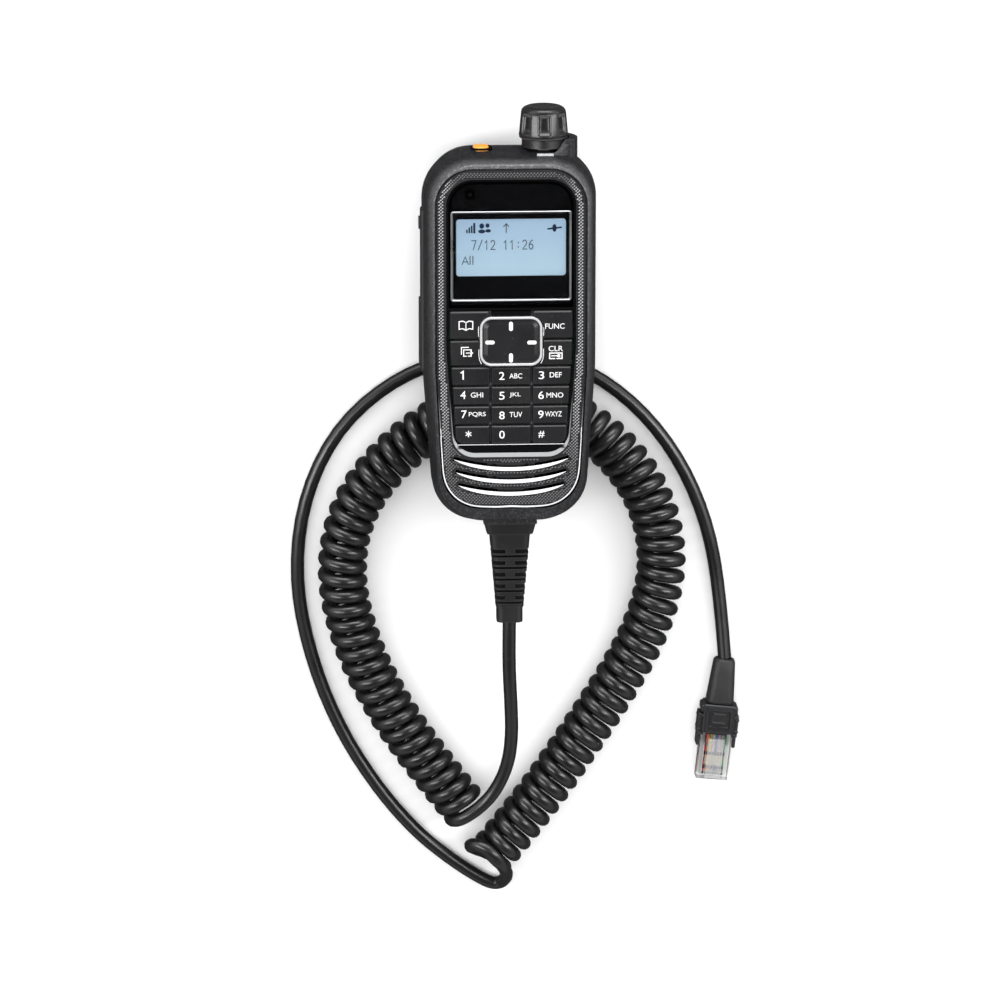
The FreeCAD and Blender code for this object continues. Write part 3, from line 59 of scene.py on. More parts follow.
def placeCamera(values):
    lens = bpy.data.cameras.new("camera")
    lens.lens = values["focalLength"]
    lens.sensor_width = 36
    camera = bpy.data.objects.new("camera", lens)
    turned = (Matrix.Rotation(math.radians(values["turn"]), 4, "Y")
              @ Matrix.Rotation(math.radians(-values["tilt"]), 4, "X"))
    place = Vector(values["target"]) + turned.to_3x3() @ Vector((0, 0, values["distance"]))
    camera.matrix_world = Matrix.Translation(place) @ turned
    bpy.context.collection.objects.link(camera)
    bpy.context.scene.camera = camera


placeCamera(cameraValues)


# node groups: one effect each, placed in the materials with their own values
def startGroup(name, inputs, *outputs):
    group = bpy.data.node_groups.new(name, "ShaderNodeTree")
    for label, value in inputs.items():
        socket = group.interface.new_socket(label, in_out="INPUT", socket_type="NodeSocketFloat")
        socket.default_value = value
    for label in outputs:
        group.interface.new_socket(label, in_out="OUTPUT", socket_type="NodeSocketFloat")
    entry = group.nodes.new("NodeGroupInput").outputs
    return group, entry, group.nodes.new("NodeGroupOutput").inputs


def addNode(tree, kind, feeds=(), **settings):
    # feeds gives each input, by name or number, a socket or a constant
    node = tree.nodes.new("ShaderNode" + kind)
    for key, value in settings.items():
        setattr(node, key, value)
    for slot, value in dict(feeds).items():
        if isinstance(value, bpy.types.NodeSocket):
            tree.links.new(value, node.inputs[slot])
        else:
            node.inputs[slot].default_value = value
    return node


def math2(tree, operation, first, second=0.5, clamp=False):
    feeds = {0: first, 1: second}
    return addNode(tree, "Math", feeds, operation=operation, use_clamp=clamp).outputs[0]


def times(tree, result, *others):
    for other in others:
        result = math2(tree, "MULTIPLY", result, other)
    return result


def blendRange(tree, value, start, end, low=0.0, high=1.0):
    # goes smoothly from low to high as the value goes from start to end
    feeds = {"Value": value, "From Min": start, "From Max": end, "To Min": low, "To Max": high}
    return addNode(tree, "MapRange", feeds, interpolation_type="SMOOTHSTEP").outputs["Result"]


def objectPlace(tree):
    return addNode(tree, "TexCoord").outputs["Object"]


def objectAxis(tree, axis):
    return addNode(tree, "SeparateXYZ", {0: objectPlace(tree)}).outputs[axis]


def buildGrain():
    # moulded plastic: fine bumps, and painted glints, small cells painted paler as if they caught
    # the light
    group, entry, leave = startGroup("sparkGrain", {"Scale": 2200, "Facet Share": 0.3},
                                     "Height", "Glints")
    shared = {"Vector": objectPlace(group), "Scale": entry["Scale"]}
    bumps = addNode(group, "TexNoise", {**shared, "Detail": 2.0, "Roughness": 0.65})
    cells = addNode(group, "TexVoronoi", shared)
    split = addNode(group, "SeparateColor", {"Color": cells.outputs["Color"]}).outputs[0]
    edge = math2(group, "SUBTRACT", 1.0, entry["Facet Share"])
    glints = math2(group, "MULTIPLY", math2(group, "SUBTRACT", split, edge), 4.0, True)
    group.links.new(bumps.outputs["Fac"], leave["Height"])
    group.links.new(glints, leave["Glints"])
    return group


def buildEdges():
    # painted highlight: where a rounded-off normal leaves the face's own, the piece has an edge,
    # which the materials paint paler as if it caught the light
    group, entry, leave = startGroup("edgeHighlights", {"Radius": 0.0003, "Strength": 6.0}, "Edge")
    rounded = addNode(group, "Bevel", {"Radius": entry["Radius"]}, samples=4)
    face = addNode(group, "NewGeometry").outputs["True Normal"]
    dot = addNode(group, "VectorMath", {0: rounded.outputs[0], 1: face}, operation="DOT_PRODUCT")
    away = math2(group, "SUBTRACT", 1.0, dot.outputs["Value"], True)
    group.links.new(math2(group, "MULTIPLY", away, entry["Strength"], True), leave["Edge"])
    return group


def buildHandling():
    # broad soft patches of wear from hands, and fine dust over them
    group, entry, leave = startGroup("handling", {"Scale": 60, "Low": 0.3, "High": 0.5},
                                     "Roughness", "Dust")
    place = objectPlace(group)
    patch = addNode(group, "TexNoise", {"Vector": place, "Scale": entry["Scale"], "Detail": 4.0})
    spread = addNode(group, "MapRange", {"Value": patch.outputs["Fac"], "From Min": 0.3,
                                         "From Max": 0.7, "To Min": entry["Low"],
                                         "To Max": entry["High"]})
    specks = addNode(group, "TexNoise", {"Vector": place, "Scale": 900.0, "Detail": 1.0})
    group.links.new(spread.outputs["Result"], leave["Roughness"])
    group.links.new(blendRange(group, specks.outputs["Fac"], 0.72, 0.8), leave["Dust"])
    return group


def buildKnurl():
    # crossed fine lines, for a pressed diamond pattern
    group, entry, leave = startGroup("pressedDiamonds", {"Scale": 1400}, "Height")
    place = objectPlace(group)
    waves = []
    for angle in (45, -45):
        turn = addNode(group, "Mapping", {"Vector": place, "Rotation": (0, 0, math.radians(angle))})
        feeds = {"Vector": turn.outputs[0], "Scale": entry["Scale"]}
        waves.append(addNode(group, "TexWave", feeds).outputs["Fac"])
    group.links.new(times(group, *waves), leave["Height"])
    return group


sparkGrain = buildGrain()
edgeHighlights = buildEdges()
handling = buildHandling()
pressedDiamonds = buildKnurl()
print("node groups built")

# materials, kept by name
looks = {}


def startMaterial(name, color, roughness, **sockets):
    material = bpy.data.materials.new(name)
    material.use_nodes = True
    looks[name] = material
    shader = material.node_tree.nodes["Principled BSDF"]
    shader.inputs["Base Color"].default_value = (*color, 1)
    shader.inputs["Roughness"].default_value = roughness
    for label, value in sockets.items():
        shader.inputs[label.replace("_", " ")].default_value = value
    return material.node_tree, shader


def useGroup(tree, group, **values):
    node = addNode(tree, "Group", node_tree=group)
    for label, value in values.items():
        node.inputs[label.replace("_", " ")].default_value = value
    return node.outputs


def mixColors(tree, mask, *colors):
    # each of the two colours is a plain one or a socket
    first, second = [(*color, 1) if isinstance(color, tuple) else color for color in colors]
    mixed = addNode(tree, "Mix", {"Factor": mask, 6: first, 7: second}, data_type="RGBA")
    return mixed.outputs[2]


def setColor(tree, shader, color):
    tree.links.new(color, shader.inputs["Base Color"])


def addBump(tree, shader, height, strength, distance):
    bump = addNode(tree, "Bump", {"Height": height, "Strength": strength, "Distance": distance})
    tree.links.new(bump.outputs["Normal"], shader.inputs["Normal"])


def addGrain(tree, shader, scale, share, strength, distance):
    # grain in the normal, and its painted glints to colour
    grain = useGroup(tree, sparkGrain, Scale=scale, Facet_Share=share)
    addBump(tree, shader, grain["Height"], strength, distance)
    return grain["Glints"]


def addHands(tree, shader, scale, low, high):
    # uneven roughness, and dust to colour
    hands = useGroup(tree, handling, Scale=scale, Low=low, High=high)
    tree.links.new(hands["Roughness"], shader.inputs["Roughness"])
    return hands["Dust"]


def mouldedPlastic(name, values):
    # textured plastic with painted glints on small cells and a painted highlight along its edges
    color, roughness, patchy = values["color"], values["roughness"], values["patchy"]
    tree, shader = startMaterial(name, color, roughness)
    dust = addHands(tree, shader, values["patchScale"], roughness - patchy, roughness + patchy)
    glints = addGrain(tree, shader, values["grainScale"], values["glintShare"], values["bump"],
                      values["bumpDepth"])
    edge = useGroup(tree, edgeHighlights, Radius=values["edgeRadius"], Strength=values["edgeStrength"])
    highlighted = mixColors(tree, edge[0], mixColors(tree, glints, color, values["glintColor"]),
                     values["edgeHighlightColor"])
    if "rimHighlightColor" in values:
        # painted highlight: the surface, and most of all its glints, is painted brighter towards
        # the front rim, where the slope catches the light
        even = values["rimEven"]
        rim = times(tree, blendRange(tree, objectAxis(tree, 2), *values["rimHeight"]),
                    blendRange(tree, objectAxis(tree, 1), *values["rimLength"]),
                    math2(tree, "ADD", times(tree, glints, 1 - even), even))
        highlighted = mixColors(tree, rim, highlighted, values["rimHighlightColor"])
    dusty = mixColors(tree, times(tree, dust, values["dust"]), highlighted, values["dustColor"])
    setColor(tree, shader, dusty)


# the paler cell and edge colours here and in the plastics below are painted highlights
caseValues = {
    "color": (0.008, 0.008, 0.009), "roughness": 0.4, "patchScale": 70, "patchy": 0.07,
    "grainScale": 2300, "glintShare": 0.3, "glintColor": (0.032, 0.033, 0.036),
    "edgeRadius": 0.0006, "edgeStrength": 1.5, "edgeHighlightColor": (0.04, 0.041, 0.044),
    "bump": 1.0, "bumpDepth": 0.00008, "dust": 0.08, "dustColor": (0.3, 0.3, 0.3),
}
# the keys' pale edge colour is a painted highlight on their edges
keyValues = dict(caseValues, color=(0.008, 0.008, 0.009), roughness=0.36, grainScale=4000,
                 glintShare=0.1, glintColor=(0.02, 0.02, 0.02), edgeRadius=0.00025,
                 edgeStrength=1.5, edgeHighlightColor=(0.10, 0.10, 0.105), bump=0.25, bumpDepth=0.00003)
rubberValues = dict(caseValues, color=(0.016, 0.016, 0.017), roughness=0.55, glintShare=0.05,
                    glintColor=(0.03, 0.03, 0.03), edgeHighlightColor=(0.05, 0.05, 0.05), bump=0.4)
plastics = {
    "casePlastic": dict(caseValues, rimHeight=(0.0355, 0.0428), rimLength=(-0.085, 0.03),
                        rimHighlightColor=(0.16, 0.16, 0.168), rimEven=0.4),
    "keyPlastic": keyValues,
    # the knob's pale edge colour is a painted highlight along its flutes
    "knobPlastic": dict(keyValues, color=(0.01, 0.01, 0.011), roughness=0.22, edgeStrength=3.0,
                        edgeHighlightColor=(0.3, 0.3, 0.31), edgeRadius=0.0004),
    "talkRubber": rubberValues,
    "bootRubber": dict(rubberValues, grainScale=1800, bump=0.9, bumpDepth=0.0002, roughness=0.5),
    "coverPlastic": dict(caseValues, color=(0.014, 0.014, 0.015), roughness=0.38, grainScale=3000,
                         glintShare=0.08, glintColor=(0.04, 0.04, 0.04), bump=0.35),
    "reliefRubber": dict(rubberValues, color=(0.012, 0.012, 0.012), roughness=0.36, bump=0.25),
    "switchPlastic": dict(caseValues, color=(0.05, 0.05, 0.055), roughness=0.45),
    "sheetRubber": dict(rubberValues, color=(0.10, 0.10, 0.11)),
    "connectorWhite": dict(caseValues, color=(0.62, 0.61, 0.56), glintColor=(0.7, 0.7, 0.66),
                           edgeHighlightColor=(0.8, 0.8, 0.76)),
    "boardGreen": dict(caseValues, color=(0.012, 0.09, 0.035), glintColor=(0.02, 0.12, 0.05),
                       bump=0.2, edgeHighlightColor=(0.25, 0.2, 0.08), roughness=0.3),
    "speakerFabric": dict(rubberValues, grainScale=3000, glintShare=0.2, bump=1.0, roughness=0.85),
    "buttonOrange": dict(caseValues, color=(0.87, 0.33, 0.035), glintColor=(0.9, 0.42, 0.09),
                         glintShare=0.15, edgeHighlightColor=(0.95, 0.5, 0.15), roughness=0.38, bump=0.3),
    # the lamp window's pale grey is partly its own tone and partly a painted highlight on the ledge
    # under the knob
    "lampTintAndHighlight": dict(caseValues, color=(0.42, 0.43, 0.44), glintColor=(0.6, 0.6, 0.6),
                      edgeHighlightColor=(0.6, 0.6, 0.6), roughness=0.25, bump=0.2),
}
for name, values in plastics.items():
    mouldedPlastic(name, values)


# metal: random cells and the edges painted in the paler edge colour, as painted glints and a
# painted highlight
def brushedMetal(name, values):
    color, roughness, edgeHighlightColor = values["color"], values["roughness"], values["edgeHighlightColor"]
    tree, shader = startMaterial(name, color, roughness, Metallic=values["metallic"])
    addHands(tree, shader, values["patchScale"], roughness - 0.06, roughness + 0.08)
    glints = addGrain(tree, shader, values["grainScale"], 0.2, 0.15, values["bumpDepth"])
    edge = useGroup(tree, edgeHighlights, Radius=values["edgeRadius"], Strength=values["edgeStrength"])
    glinting = mixColors(tree, times(tree, glints, values["glintAmount"]), color, edgeHighlightColor)
    setColor(tree, shader, mixColors(tree, edge[0], glinting, edgeHighlightColor))


metalValues = {
    "color": (0.55, 0.56, 0.57), "edgeHighlightColor": (0.8, 0.8, 0.8), "edgeRadius": 0.0002,
    "edgeStrength": 2.0, "roughness": 0.3, "metallic": 1.0, "patchScale": 90,
    "grainScale": 3500, "bumpDepth": 0.00003, "glintAmount": 0.25,
}
metals = {
    "silverTrim": {},
    "studMetal": {"color": (0.42, 0.42, 0.43)},
    "screwSteel": {"color": (0.35, 0.35, 0.36)},
    "speakerSteel": {"color": (0.45, 0.45, 0.46)},
    "shaftBrass": {"color": (0.68, 0.5, 0.22)},
    "contactGold": {"color": (0.72, 0.47, 0.14), "edgeHighlightColor": (0.95, 0.75, 0.35)},
    # white for the painted highlights on the slot lips, the bezel's rim and the line under the keys
    "silverPaint": {"color": (0.82, 0.83, 0.84), "metallic": 0.1, "roughness": 0.4},
    "ringSilver": {"color": (0.5, 0.5, 0.51), "edgeHighlightColor": (0.75, 0.75, 0.76), "metallic": 0.3,
                   "roughness": 0.35},
}
for name, changes in metals.items():
    brushedMetal(name, {**metalValues, **changes})


def printedInk(name, color, roughness=0.5, shine=0.5):
    # ink or paint with slightly uneven cover
    tree, shader = startMaterial(name, color, roughness, Specular_IOR_Level=shine)
    dust = addHands(tree, shader, 900, roughness - 0.1, roughness + 0.1)
    thin = tuple(0.7 * part for part in color)
    setColor(tree, shader, mixColors(tree, times(tree, dust, 0.5), color, thin))


printedInk("legendWhite", (0.72, 0.72, 0.72))
printedInk("maskBlack", (0.008, 0.008, 0.0095), shine=0.0)
printedInk("segmentBlue", (0.012, 0.035, 0.11), 0.4)
printedInk("segmentGrey", (0.08, 0.14, 0.22), 0.4)
printedInk("displayEdge", (0.02, 0.045, 0.09), 0.3)
printedInk("backlightWhite", (0.8, 0.82, 0.84))
printedInk("bridgeCream", (0.75, 0.68, 0.5), 0.4)

bezelValues = {
    "gloss": (0.0035, 0.0035, 0.004), "glossRoughness": 0.07,
    # the pale edge colour is a painted highlight on the band's edges; the pale grey for the lower
    # slope is a painted reflection
    "band": (0.012, 0.012, 0.013), "bandRoughness": 0.33, "edge": (0.1, 0.1, 0.105),
    "silver": (0.3, 0.305, 0.31), "slopeReflectionRoughness": 0.3,
    "knurlScale": 3000, "knurlDepth": 0.00003,
    # each pair says where a finish starts to show and where it is full
    "panel": (0.04235, 0.04225), "slopeFoot": (0.04204, 0.04206), "slopeTop": (0.04268, 0.04266),
    "end": (-0.0697, -0.0695), "low": (-0.0662, -0.0668), "inside": (0.0236, 0.0235),
    "sideStart": (-0.0668, -0.0655), "sideFade": (-0.045, -0.06), "sideFoot": (0.0185, 0.0195),
}


def buildBezelMaterial(values):
    # gloss panel inside, satin band outside, and a painted reflection in pale grey on the panel's
    # lower slope and up its lower sides
    tree, shader = startMaterial("bezelPlastic", values["band"], values["bandRoughness"])
    height, along = objectAxis(tree, 2), objectAxis(tree, 1)
    across = math2(tree, "ABSOLUTE", objectAxis(tree, 0))
    masks = {name: blendRange(tree, axis, *values[name]) for axis, names in (
        (height, ("panel", "slopeFoot", "slopeTop")), (across, ("inside", "sideFoot")),
        (along, ("low", "end", "sideStart", "sideFade"))) for name in names}
    middle = times(tree, masks["low"], masks["inside"])
    sides = times(tree, masks["sideStart"], masks["sideFade"], masks["sideFoot"])
    slope = times(tree, math2(tree, "MAXIMUM", middle, sides), masks["slopeFoot"],
                  masks["slopeTop"], masks["end"])
    edge = useGroup(tree, edgeHighlights, Radius=0.0003, Strength=1.2)
    hands = useGroup(tree, handling, Scale=60, Low=values["bandRoughness"] - 0.05,
                     High=values["bandRoughness"] + 0.08)
    # painted highlight: the band's edges are painted paler
    band = mixColors(tree, edge[0], values["band"], values["edge"])
    ground = mixColors(tree, masks["panel"], band, values["gloss"])
    # painted reflection: pale grey on the lower slope
    setColor(tree, shader, mixColors(tree, slope, ground, values["silver"]))
    rough = hands["Roughness"]
    for mask, final in ((masks["panel"], "glossRoughness"), (slope, "slopeReflectionRoughness")):
        rough = addNode(tree, "Mix", {"Factor": mask, 2: rough, 3: values[final]}).outputs[0]
    tree.links.new(rough, shader.inputs["Roughness"])
    knurl = useGroup(tree, pressedDiamonds, Scale=values["knurlScale"])
    pressed = times(tree, knurl["Height"], math2(tree, "SUBTRACT", 1.0, masks["panel"]))
    addBump(tree, shader, pressed, 0.2, values["knurlDepth"])


buildBezelMaterial(bezelValues)

glasses = {
    "windowClear": {"color": (0.97, 0.97, 0.97), "haze": (0.93, 0.94, 0.95), "roughness": 0.0,
                    "ior": 1.49, "patchScale": 40, "clearness": 1.0},
    "plugClear": {"color": (0.98, 0.98, 0.98), "haze": (0.93, 0.94, 0.95), "roughness": 0.03,
                  "ior": 1.42, "patchScale": 500, "clearness": 1.0},
    "latchClear": {"color": (0.97, 0.97, 0.97), "haze": (0.92, 0.92, 0.93), "roughness": 0.12,
                   "ior": 1.42, "patchScale": 500, "clearness": 0.82},
}
for name, values in glasses.items():
    tree, shader = startMaterial(name, values["color"], values["roughness"],
                                 Transmission_Weight=values["clearness"], IOR=values["ior"])
    patches = useGroup(tree, handling, Scale=values["patchScale"], Low=0, High=1)
    setColor(tree, shader, mixColors(tree, patches["Roughness"], values["color"], values["haze"]))

displayValues = {"top": (0.40, 0.56, 0.72), "foot": (0.47, 0.64, 0.76), "dot": (0.25, 0.4, 0.55),
                 "fall": (0.017, -0.004), "glow": 0.46, "dots": 3300, "raster": 0.15}


def buildDisplayMaterial(values):
    # a lit display: pale blue, a little paler at the foot, with a faint dot raster
    tree, shader = startMaterial("displayBlue", values["top"], 0.25,
                                 Emission_Strength=values["glow"])
    fall = blendRange(tree, objectAxis(tree, 1), *values["fall"])
    raster = useGroup(tree, pressedDiamonds, Scale=values["dots"])
    dotted = mixColors(tree, times(tree, raster["Height"], values["raster"]),
                       mixColors(tree, fall, values["top"], values["foot"]), values["dot"])
    setColor(tree, shader, dotted)
    tree.links.new(dotted, shader.inputs["Emission Color"])


buildDisplayMaterial(displayValues)

cordValues = {"color": (0.007, 0.007, 0.0075), "dustColor": (0.12, 0.12, 0.12), "dust": 0.1,
              "roughness": 0.31, "coat": 0.4, "coatRoughness": 0.24, "grainScale": 2500,
              "bumpDepth": 0.00005}


def buildCordMaterial(values):
    tree, shader = startMaterial("cordJacket", values["color"], values["roughness"],
                                 Coat_Weight=values["coat"],
                                 Coat_Roughness=values["coatRoughness"])
    dust = addHands(tree, shader, 120, values["roughness"] - 0.06, values["roughness"] + 0.1)
    addGrain(tree, shader, values["grainScale"], 0.1, 0.2, values["bumpDepth"])
    setColor(tree, shader, mixColors(tree, times(tree, dust, values["dust"]), values["color"],
                                     values["dustColor"]))


buildCordMaterial(cordValues)
print("materials built")


# the cord: one smooth line from the housing, through all its curls, to the plug
cordRoute = {
    "leadIn": [(0, -132.8, 31), (-0.1, -140, 31), (0, -152, 29.6), (0.9, -166, 26),
               (1.5, -179.5, 21.4), (0.2, -191.5, 18.2), (-4, -201.5, 16.35), (-9, -207.5, 15.75)],
    "curls": [(-14.4, -211.4), (-28, -194), (-43.5, -171), (-55, -147), (-61, -121), (-56.5, -96),
              (-41, -75.5), (-20, -60.5), (1.5, -55.5), (23, -61.5), (42, -76.5), (54.5, -97),
              (57.8, -120.5), (51.5, -143.5), (39, -166), (24, -189), (9, -211), (-6.5, -230)],
    "lastTurn": [(-14.3, -225.1, 9.1), (-11.2, -222.6, 14.6), (-5.6, -225.4, 16.6),
                 (-1.6, -230.8, 15.0), (0.7, -236.6, 9.1), (-1.4, -241.4, 3.2),
                 (-5.2, -241.9, 2.5)],
    "leadOut": [(-12.5, -237.6), (-22, -230.8), (-33.5, -220.8), (-47, -204.5), (-61, -181.5),
                (-71.5, -154), (-77, -124.5), (-74, -95), (-62, -68.5), (-41.5, -50), (-18, -41),
                (2, -39), (24, -43.5), (46, -58), (63, -79), (74, -104), (79, -131)],
    "end": (80.7, -155.4, 5.4),
    "curlHeight": 9.1,
    "lowHeight": 2.5,
    "diameter": 4.9,
    "curlRadius": 6.65,
    "turns": 74.5,
    "pointsPerTurn": 12,
    "length": 3.67,
}


def newSpline(name, points):
    curve = bpy.data.curves.new(name, "CURVE")
    curve.dimensions = "3D"
    spline = curve.splines.new("NURBS")
    spline.points.add(len(points) - 1)
    for point, place in zip(spline.points, points):
        point.co = (*place, 1)
    spline.order_u = 3
    spline.use_endpoint_u = True
    return curve


def readLine(points, resolution):
    # the places along a smooth line through these points
    curve = newSpline("readLine", points)
    curve.resolution_u = resolution
    carrier = bpy.data.objects.new("readLine", curve)
    mesh = bpy.data.meshes.new_from_object(carrier)
    places = [vertex.co.copy() for vertex in mesh.vertices]
    bpy.data.objects.remove(carrier)
    bpy.data.meshes.remove(mesh)
    bpy.data.curves.remove(curve)
    return places


def evenPlaces(places, count):
    # count places at equal steps along a line of places
    reach = [0.0]
    for first, second in zip(places, places[1:]):
        reach.append(reach[-1] + (second - first).length)
    result = []
    spot = 0
    for number in range(count):
        target = reach[-1] * number / (count - 1)
        while spot < len(places) - 2 and reach[spot + 1] < target:
            spot += 1
        share = (target - reach[spot]) / max(reach[spot + 1] - reach[spot], 1e-9)
        result.append(places[spot].lerp(places[spot + 1], min(max(share, 0.0), 1.0)))
    return result


def buildCord(values):
    curlLine = [Vector((x, y, values["curlHeight"])) * mm for x, y in values["curls"]]
    count = int(values["turns"] * values["pointsPerTurn"]) + 1
    centres = evenPlaces(readLine(curlLine, 24), count)
    radius = values["curlRadius"] * mm / math.cos(math.pi / values["pointsPerTurn"])
    up = Vector((0, 0, 1))
    points = [Vector(place) * mm for place in values["leadIn"]]
    for number, centre in enumerate(centres):
        ahead = centres[min(number + 1, count - 1)] - centres[max(number - 1, 0)]
        ahead.normalize()
        side = Vector((ahead.y, -ahead.x, 0))
        # the first turn starts at the top, where the lead ends
        angle = math.radians(90) + 2 * math.pi * number / values["pointsPerTurn"]
        points.append(centre + radius * (math.cos(angle) * side + math.sin(angle) * up))
    points += [Vector(place) * mm for place in values["lastTurn"]]
    points += [Vector((x, y, values["lowHeight"])) * mm for x, y in values["leadOut"]]
    points.append(Vector(values["end"]) * mm)
    curve = newSpline("cord", points)
    curve.resolution_u = 4
    curve.bevel_depth = values["diameter"] * mm / 2
    curve.bevel_resolution = 4
    curve.use_fill_caps = True
    cord = placePiece("cord", curve, "cordJacket")
    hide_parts("lead_in", "curly_cord", "lead_out")
    return cord


# pieces made in code; smooth is how many of a piece's first faces are shaded smooth
def placePiece(name, data, look, body="housing"):
    data.materials.append(looks[look])
    piece = bpy.data.objects.new(name, data)
    bpy.context.collection.objects.link(piece)
    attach(piece, body)
    return piece


def newPiece(name, corners, faces, look, slot, body="housing", smooth=0):
    mesh = bpy.data.meshes.new(name)
    mesh.from_pydata([tuple(corner) for corner in corners], [], faces)
    mesh.validate()
    for face in mesh.polygons:
        face.use_smooth = face.index < smooth
    return placePiece(name, mesh, look, body)


def loft(rings, closed=False, flip=False):
    # faces between rings of as many corners; closed joins the last ring to the first
    count = len(rings[0])
    faces = []
    for row in range(len(rings) - (0 if closed else 1)):
        near, away = row * count, (row + 1) % len(rings) * count
        for number in range(count):
            after = (number + 1) % count
            faces.append((near + number, near + after, away + after, away + number))
    if not closed:
        last = (len(rings) - 1) * count
        faces += [tuple(reversed(range(count))), tuple(range(last, last + count))]
    if flip:
        faces = [tuple(reversed(face)) for face in faces]
    return [corner for ring in rings for corner in ring], faces


cord = buildCord(cordRoute)
print("cord built")


def surfaceOf(node):
    # a tree to find a CAD piece's surface from above
    mesh = nodes[node].data
    mesh.calc_loop_triangles()
    return BVHTree.FromPolygons([vertex.co.copy() for vertex in mesh.vertices],
                                [tuple(face.vertices) for face in mesh.loop_triangles])


def heightAt(tree, x, y, missing=None):
    hit = tree.ray_cast(Vector((x, y, 0.1)), Vector((0, 0, -1)))
    return hit[0].z if hit[0] is not None else missing


# knurl: small pyramids over the bezel's band and lower part
knurlValues = {"pitch": 1.18, "height": 0.3, "sink": 0.02, "edge": 0.1, "level": 1e-5}
bezelTree = surfaceOf("front_bezel")
bezelLow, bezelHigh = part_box("front_bezel")


def buildKnurlPiece(values):
    pitch = values["pitch"] * mm
    half = pitch / 2
    reach = half + values["edge"] * mm
    face = bezelHigh.z
    foot = face - values["sink"] * mm
    corners = []
    faces = []
    for row in range(int((bezelHigh.y - bezelLow.y) / half) + 1):
        for column in range(int((bezelHigh.x - bezelLow.x) / pitch) + 1):
            x = bezelLow.x + (column + 0.5 * (row % 2)) * pitch
            y = bezelLow.y + row * pitch / 2
            tips = [(x + reach, y), (x, y + reach), (x - reach, y), (x, y - reach), (x, y)]
            if any(abs(heightAt(bezelTree, *tip, 0) - face) >= values["level"] for tip in tips):
                continue
            start = len(corners)
            corners += [(x + half, y, foot), (x, y + half, foot), (x - half, y, foot),
                        (x, y - half, foot), (x, y, face + values["height"] * mm)]
            faces += [(start + side, start + (side + 1) % 4, start + 4) for side in range(4)]
            faces.append((start + 3, start + 2, start + 1, start))
    return newPiece("bezelKnurl", corners, faces, "knurlBlack", "bezel_plastic")


# the bright colour is a painted highlight on the pyramid faces turned towards the light
pressedValues = {"color": (0.015, 0.015, 0.017), "litFaceColor": (0.48, 0.48, 0.49), "roughness": 0.36,
                 "way": (-0.62, 0.78, 0.0), "top": 0.26, "side": (0.0195, 0.0238),
                 "upper": (-0.082, -0.045), "turned": (0.05, 0.15)}


def buildKnurlMaterial(values):
    # painted highlight: on each pyramid the two faces turned towards the light are painted bright,
    # brightest on the long sides
    tree, shader = startMaterial("knurlBlack", values["color"], values["roughness"], Metallic=0.2)
    normal = addNode(tree, "TexCoord").outputs["Normal"]
    facing = addNode(tree, "VectorMath", {0: normal, 1: values["way"]}, operation="DOT_PRODUCT")
    addHands(tree, shader, 120, values["roughness"], values["roughness"] + 0.1)
    across = math2(tree, "ABSOLUTE", objectAxis(tree, 0))
    share = times(tree, blendRange(tree, across, *values["side"]),
                  blendRange(tree, objectAxis(tree, 1), *values["upper"]), 1 - values["top"])
    mask = times(tree, blendRange(tree, facing.outputs["Value"], *values["turned"]),
                 math2(tree, "ADD", share, values["top"]))
    setColor(tree, shader, mixColors(tree, mask, values["color"], values["litFaceColor"]))


buildKnurlMaterial(pressedValues)
bezelKnurl = buildKnurlPiece(knurlValues)
print("knurl built,", len(bezelKnurl.data.polygons), "faces")


def ribbon(name, inner, outer, thick):
    # a thin closed strip between two rows of places, thickened upwards, in the painted highlight
    # white
    up = Vector((0, 0, thick * mm))
    rings = [(low, high, high + up, low + up) for low, high in zip(inner, outer)]
    newPiece(name, *loft(rings), "silverPaint", "silver_trim")


# painted highlights: bright strips on the lips above the three speaker slots, where the lips
# reflect the light, thick in the middle and thin at the ends
lipValues = {"bend": 70.0, "first": 73.5, "pitch": 4.55, "halves": (20.8, 20.1, 19.2),
             "inner": 69.68, "outer": 70.95, "least": 0.05, "reach": 0.985, "steps": 60,
             "lift": 0.2, "thick": 0.08}


def buildLips(values):
    height = bezelHigh.z + values["lift"] * mm
    for number, half in enumerate(values["halves"]):
        centreY = values["bend"] - (values["first"] + number * values["pitch"])
        span = math.asin(half / values["bend"]) * values["reach"]
        rows = [], []
        for step in range(values["steps"] + 1):
            share = 2 * step / values["steps"] - 1
            width = (values["outer"] - values["inner"]) * (1 - abs(share) ** 4) + values["least"]
            for row, radius in zip(rows, (values["inner"], values["inner"] + width)):
                row.append(Vector((radius * math.sin(share * span) * mm,
                                   (centreY - radius * math.cos(share * span)) * mm, height)))
        ribbon(f"grilleLip{number + 1}", *rows, values["thick"])


buildLips(lipValues)

# legends
legendValues = {"sink": 0.02, "rise": 0.03, "step": 0.012, "weight": 0.004, "round": 12}


def glyphCorners(text, weight):
    # one line of lettering as a flat solid, fitted to a unit box
    curve = bpy.data.curves.new("lettering", "FONT")
    curve.body = text
    curve.extrude = 0.1
    curve.offset = weight
    curve.resolution_u = 4
    carrier = bpy.data.objects.new("lettering", curve)
    mesh = bpy.data.meshes.new_from_object(carrier)
    corners = [vertex.co.copy() for vertex in mesh.vertices]
    faces = [tuple(face.vertices) for face in mesh.polygons]
    bpy.data.objects.remove(carrier)
    bpy.data.meshes.remove(mesh)
    bpy.data.curves.remove(curve)
    lowX = min(corner.x for corner in corners)
    lowY = min(corner.y for corner in corners)
    width = max(corner.x for corner in corners) - lowX
    height = max(corner.y for corner in corners) - lowY
    return [Vector(((corner.x - lowX) / width - 0.5, (corner.y - lowY) / height - 0.5,
                    1 if corner.z > 0 else 0)) for corner in corners], faces


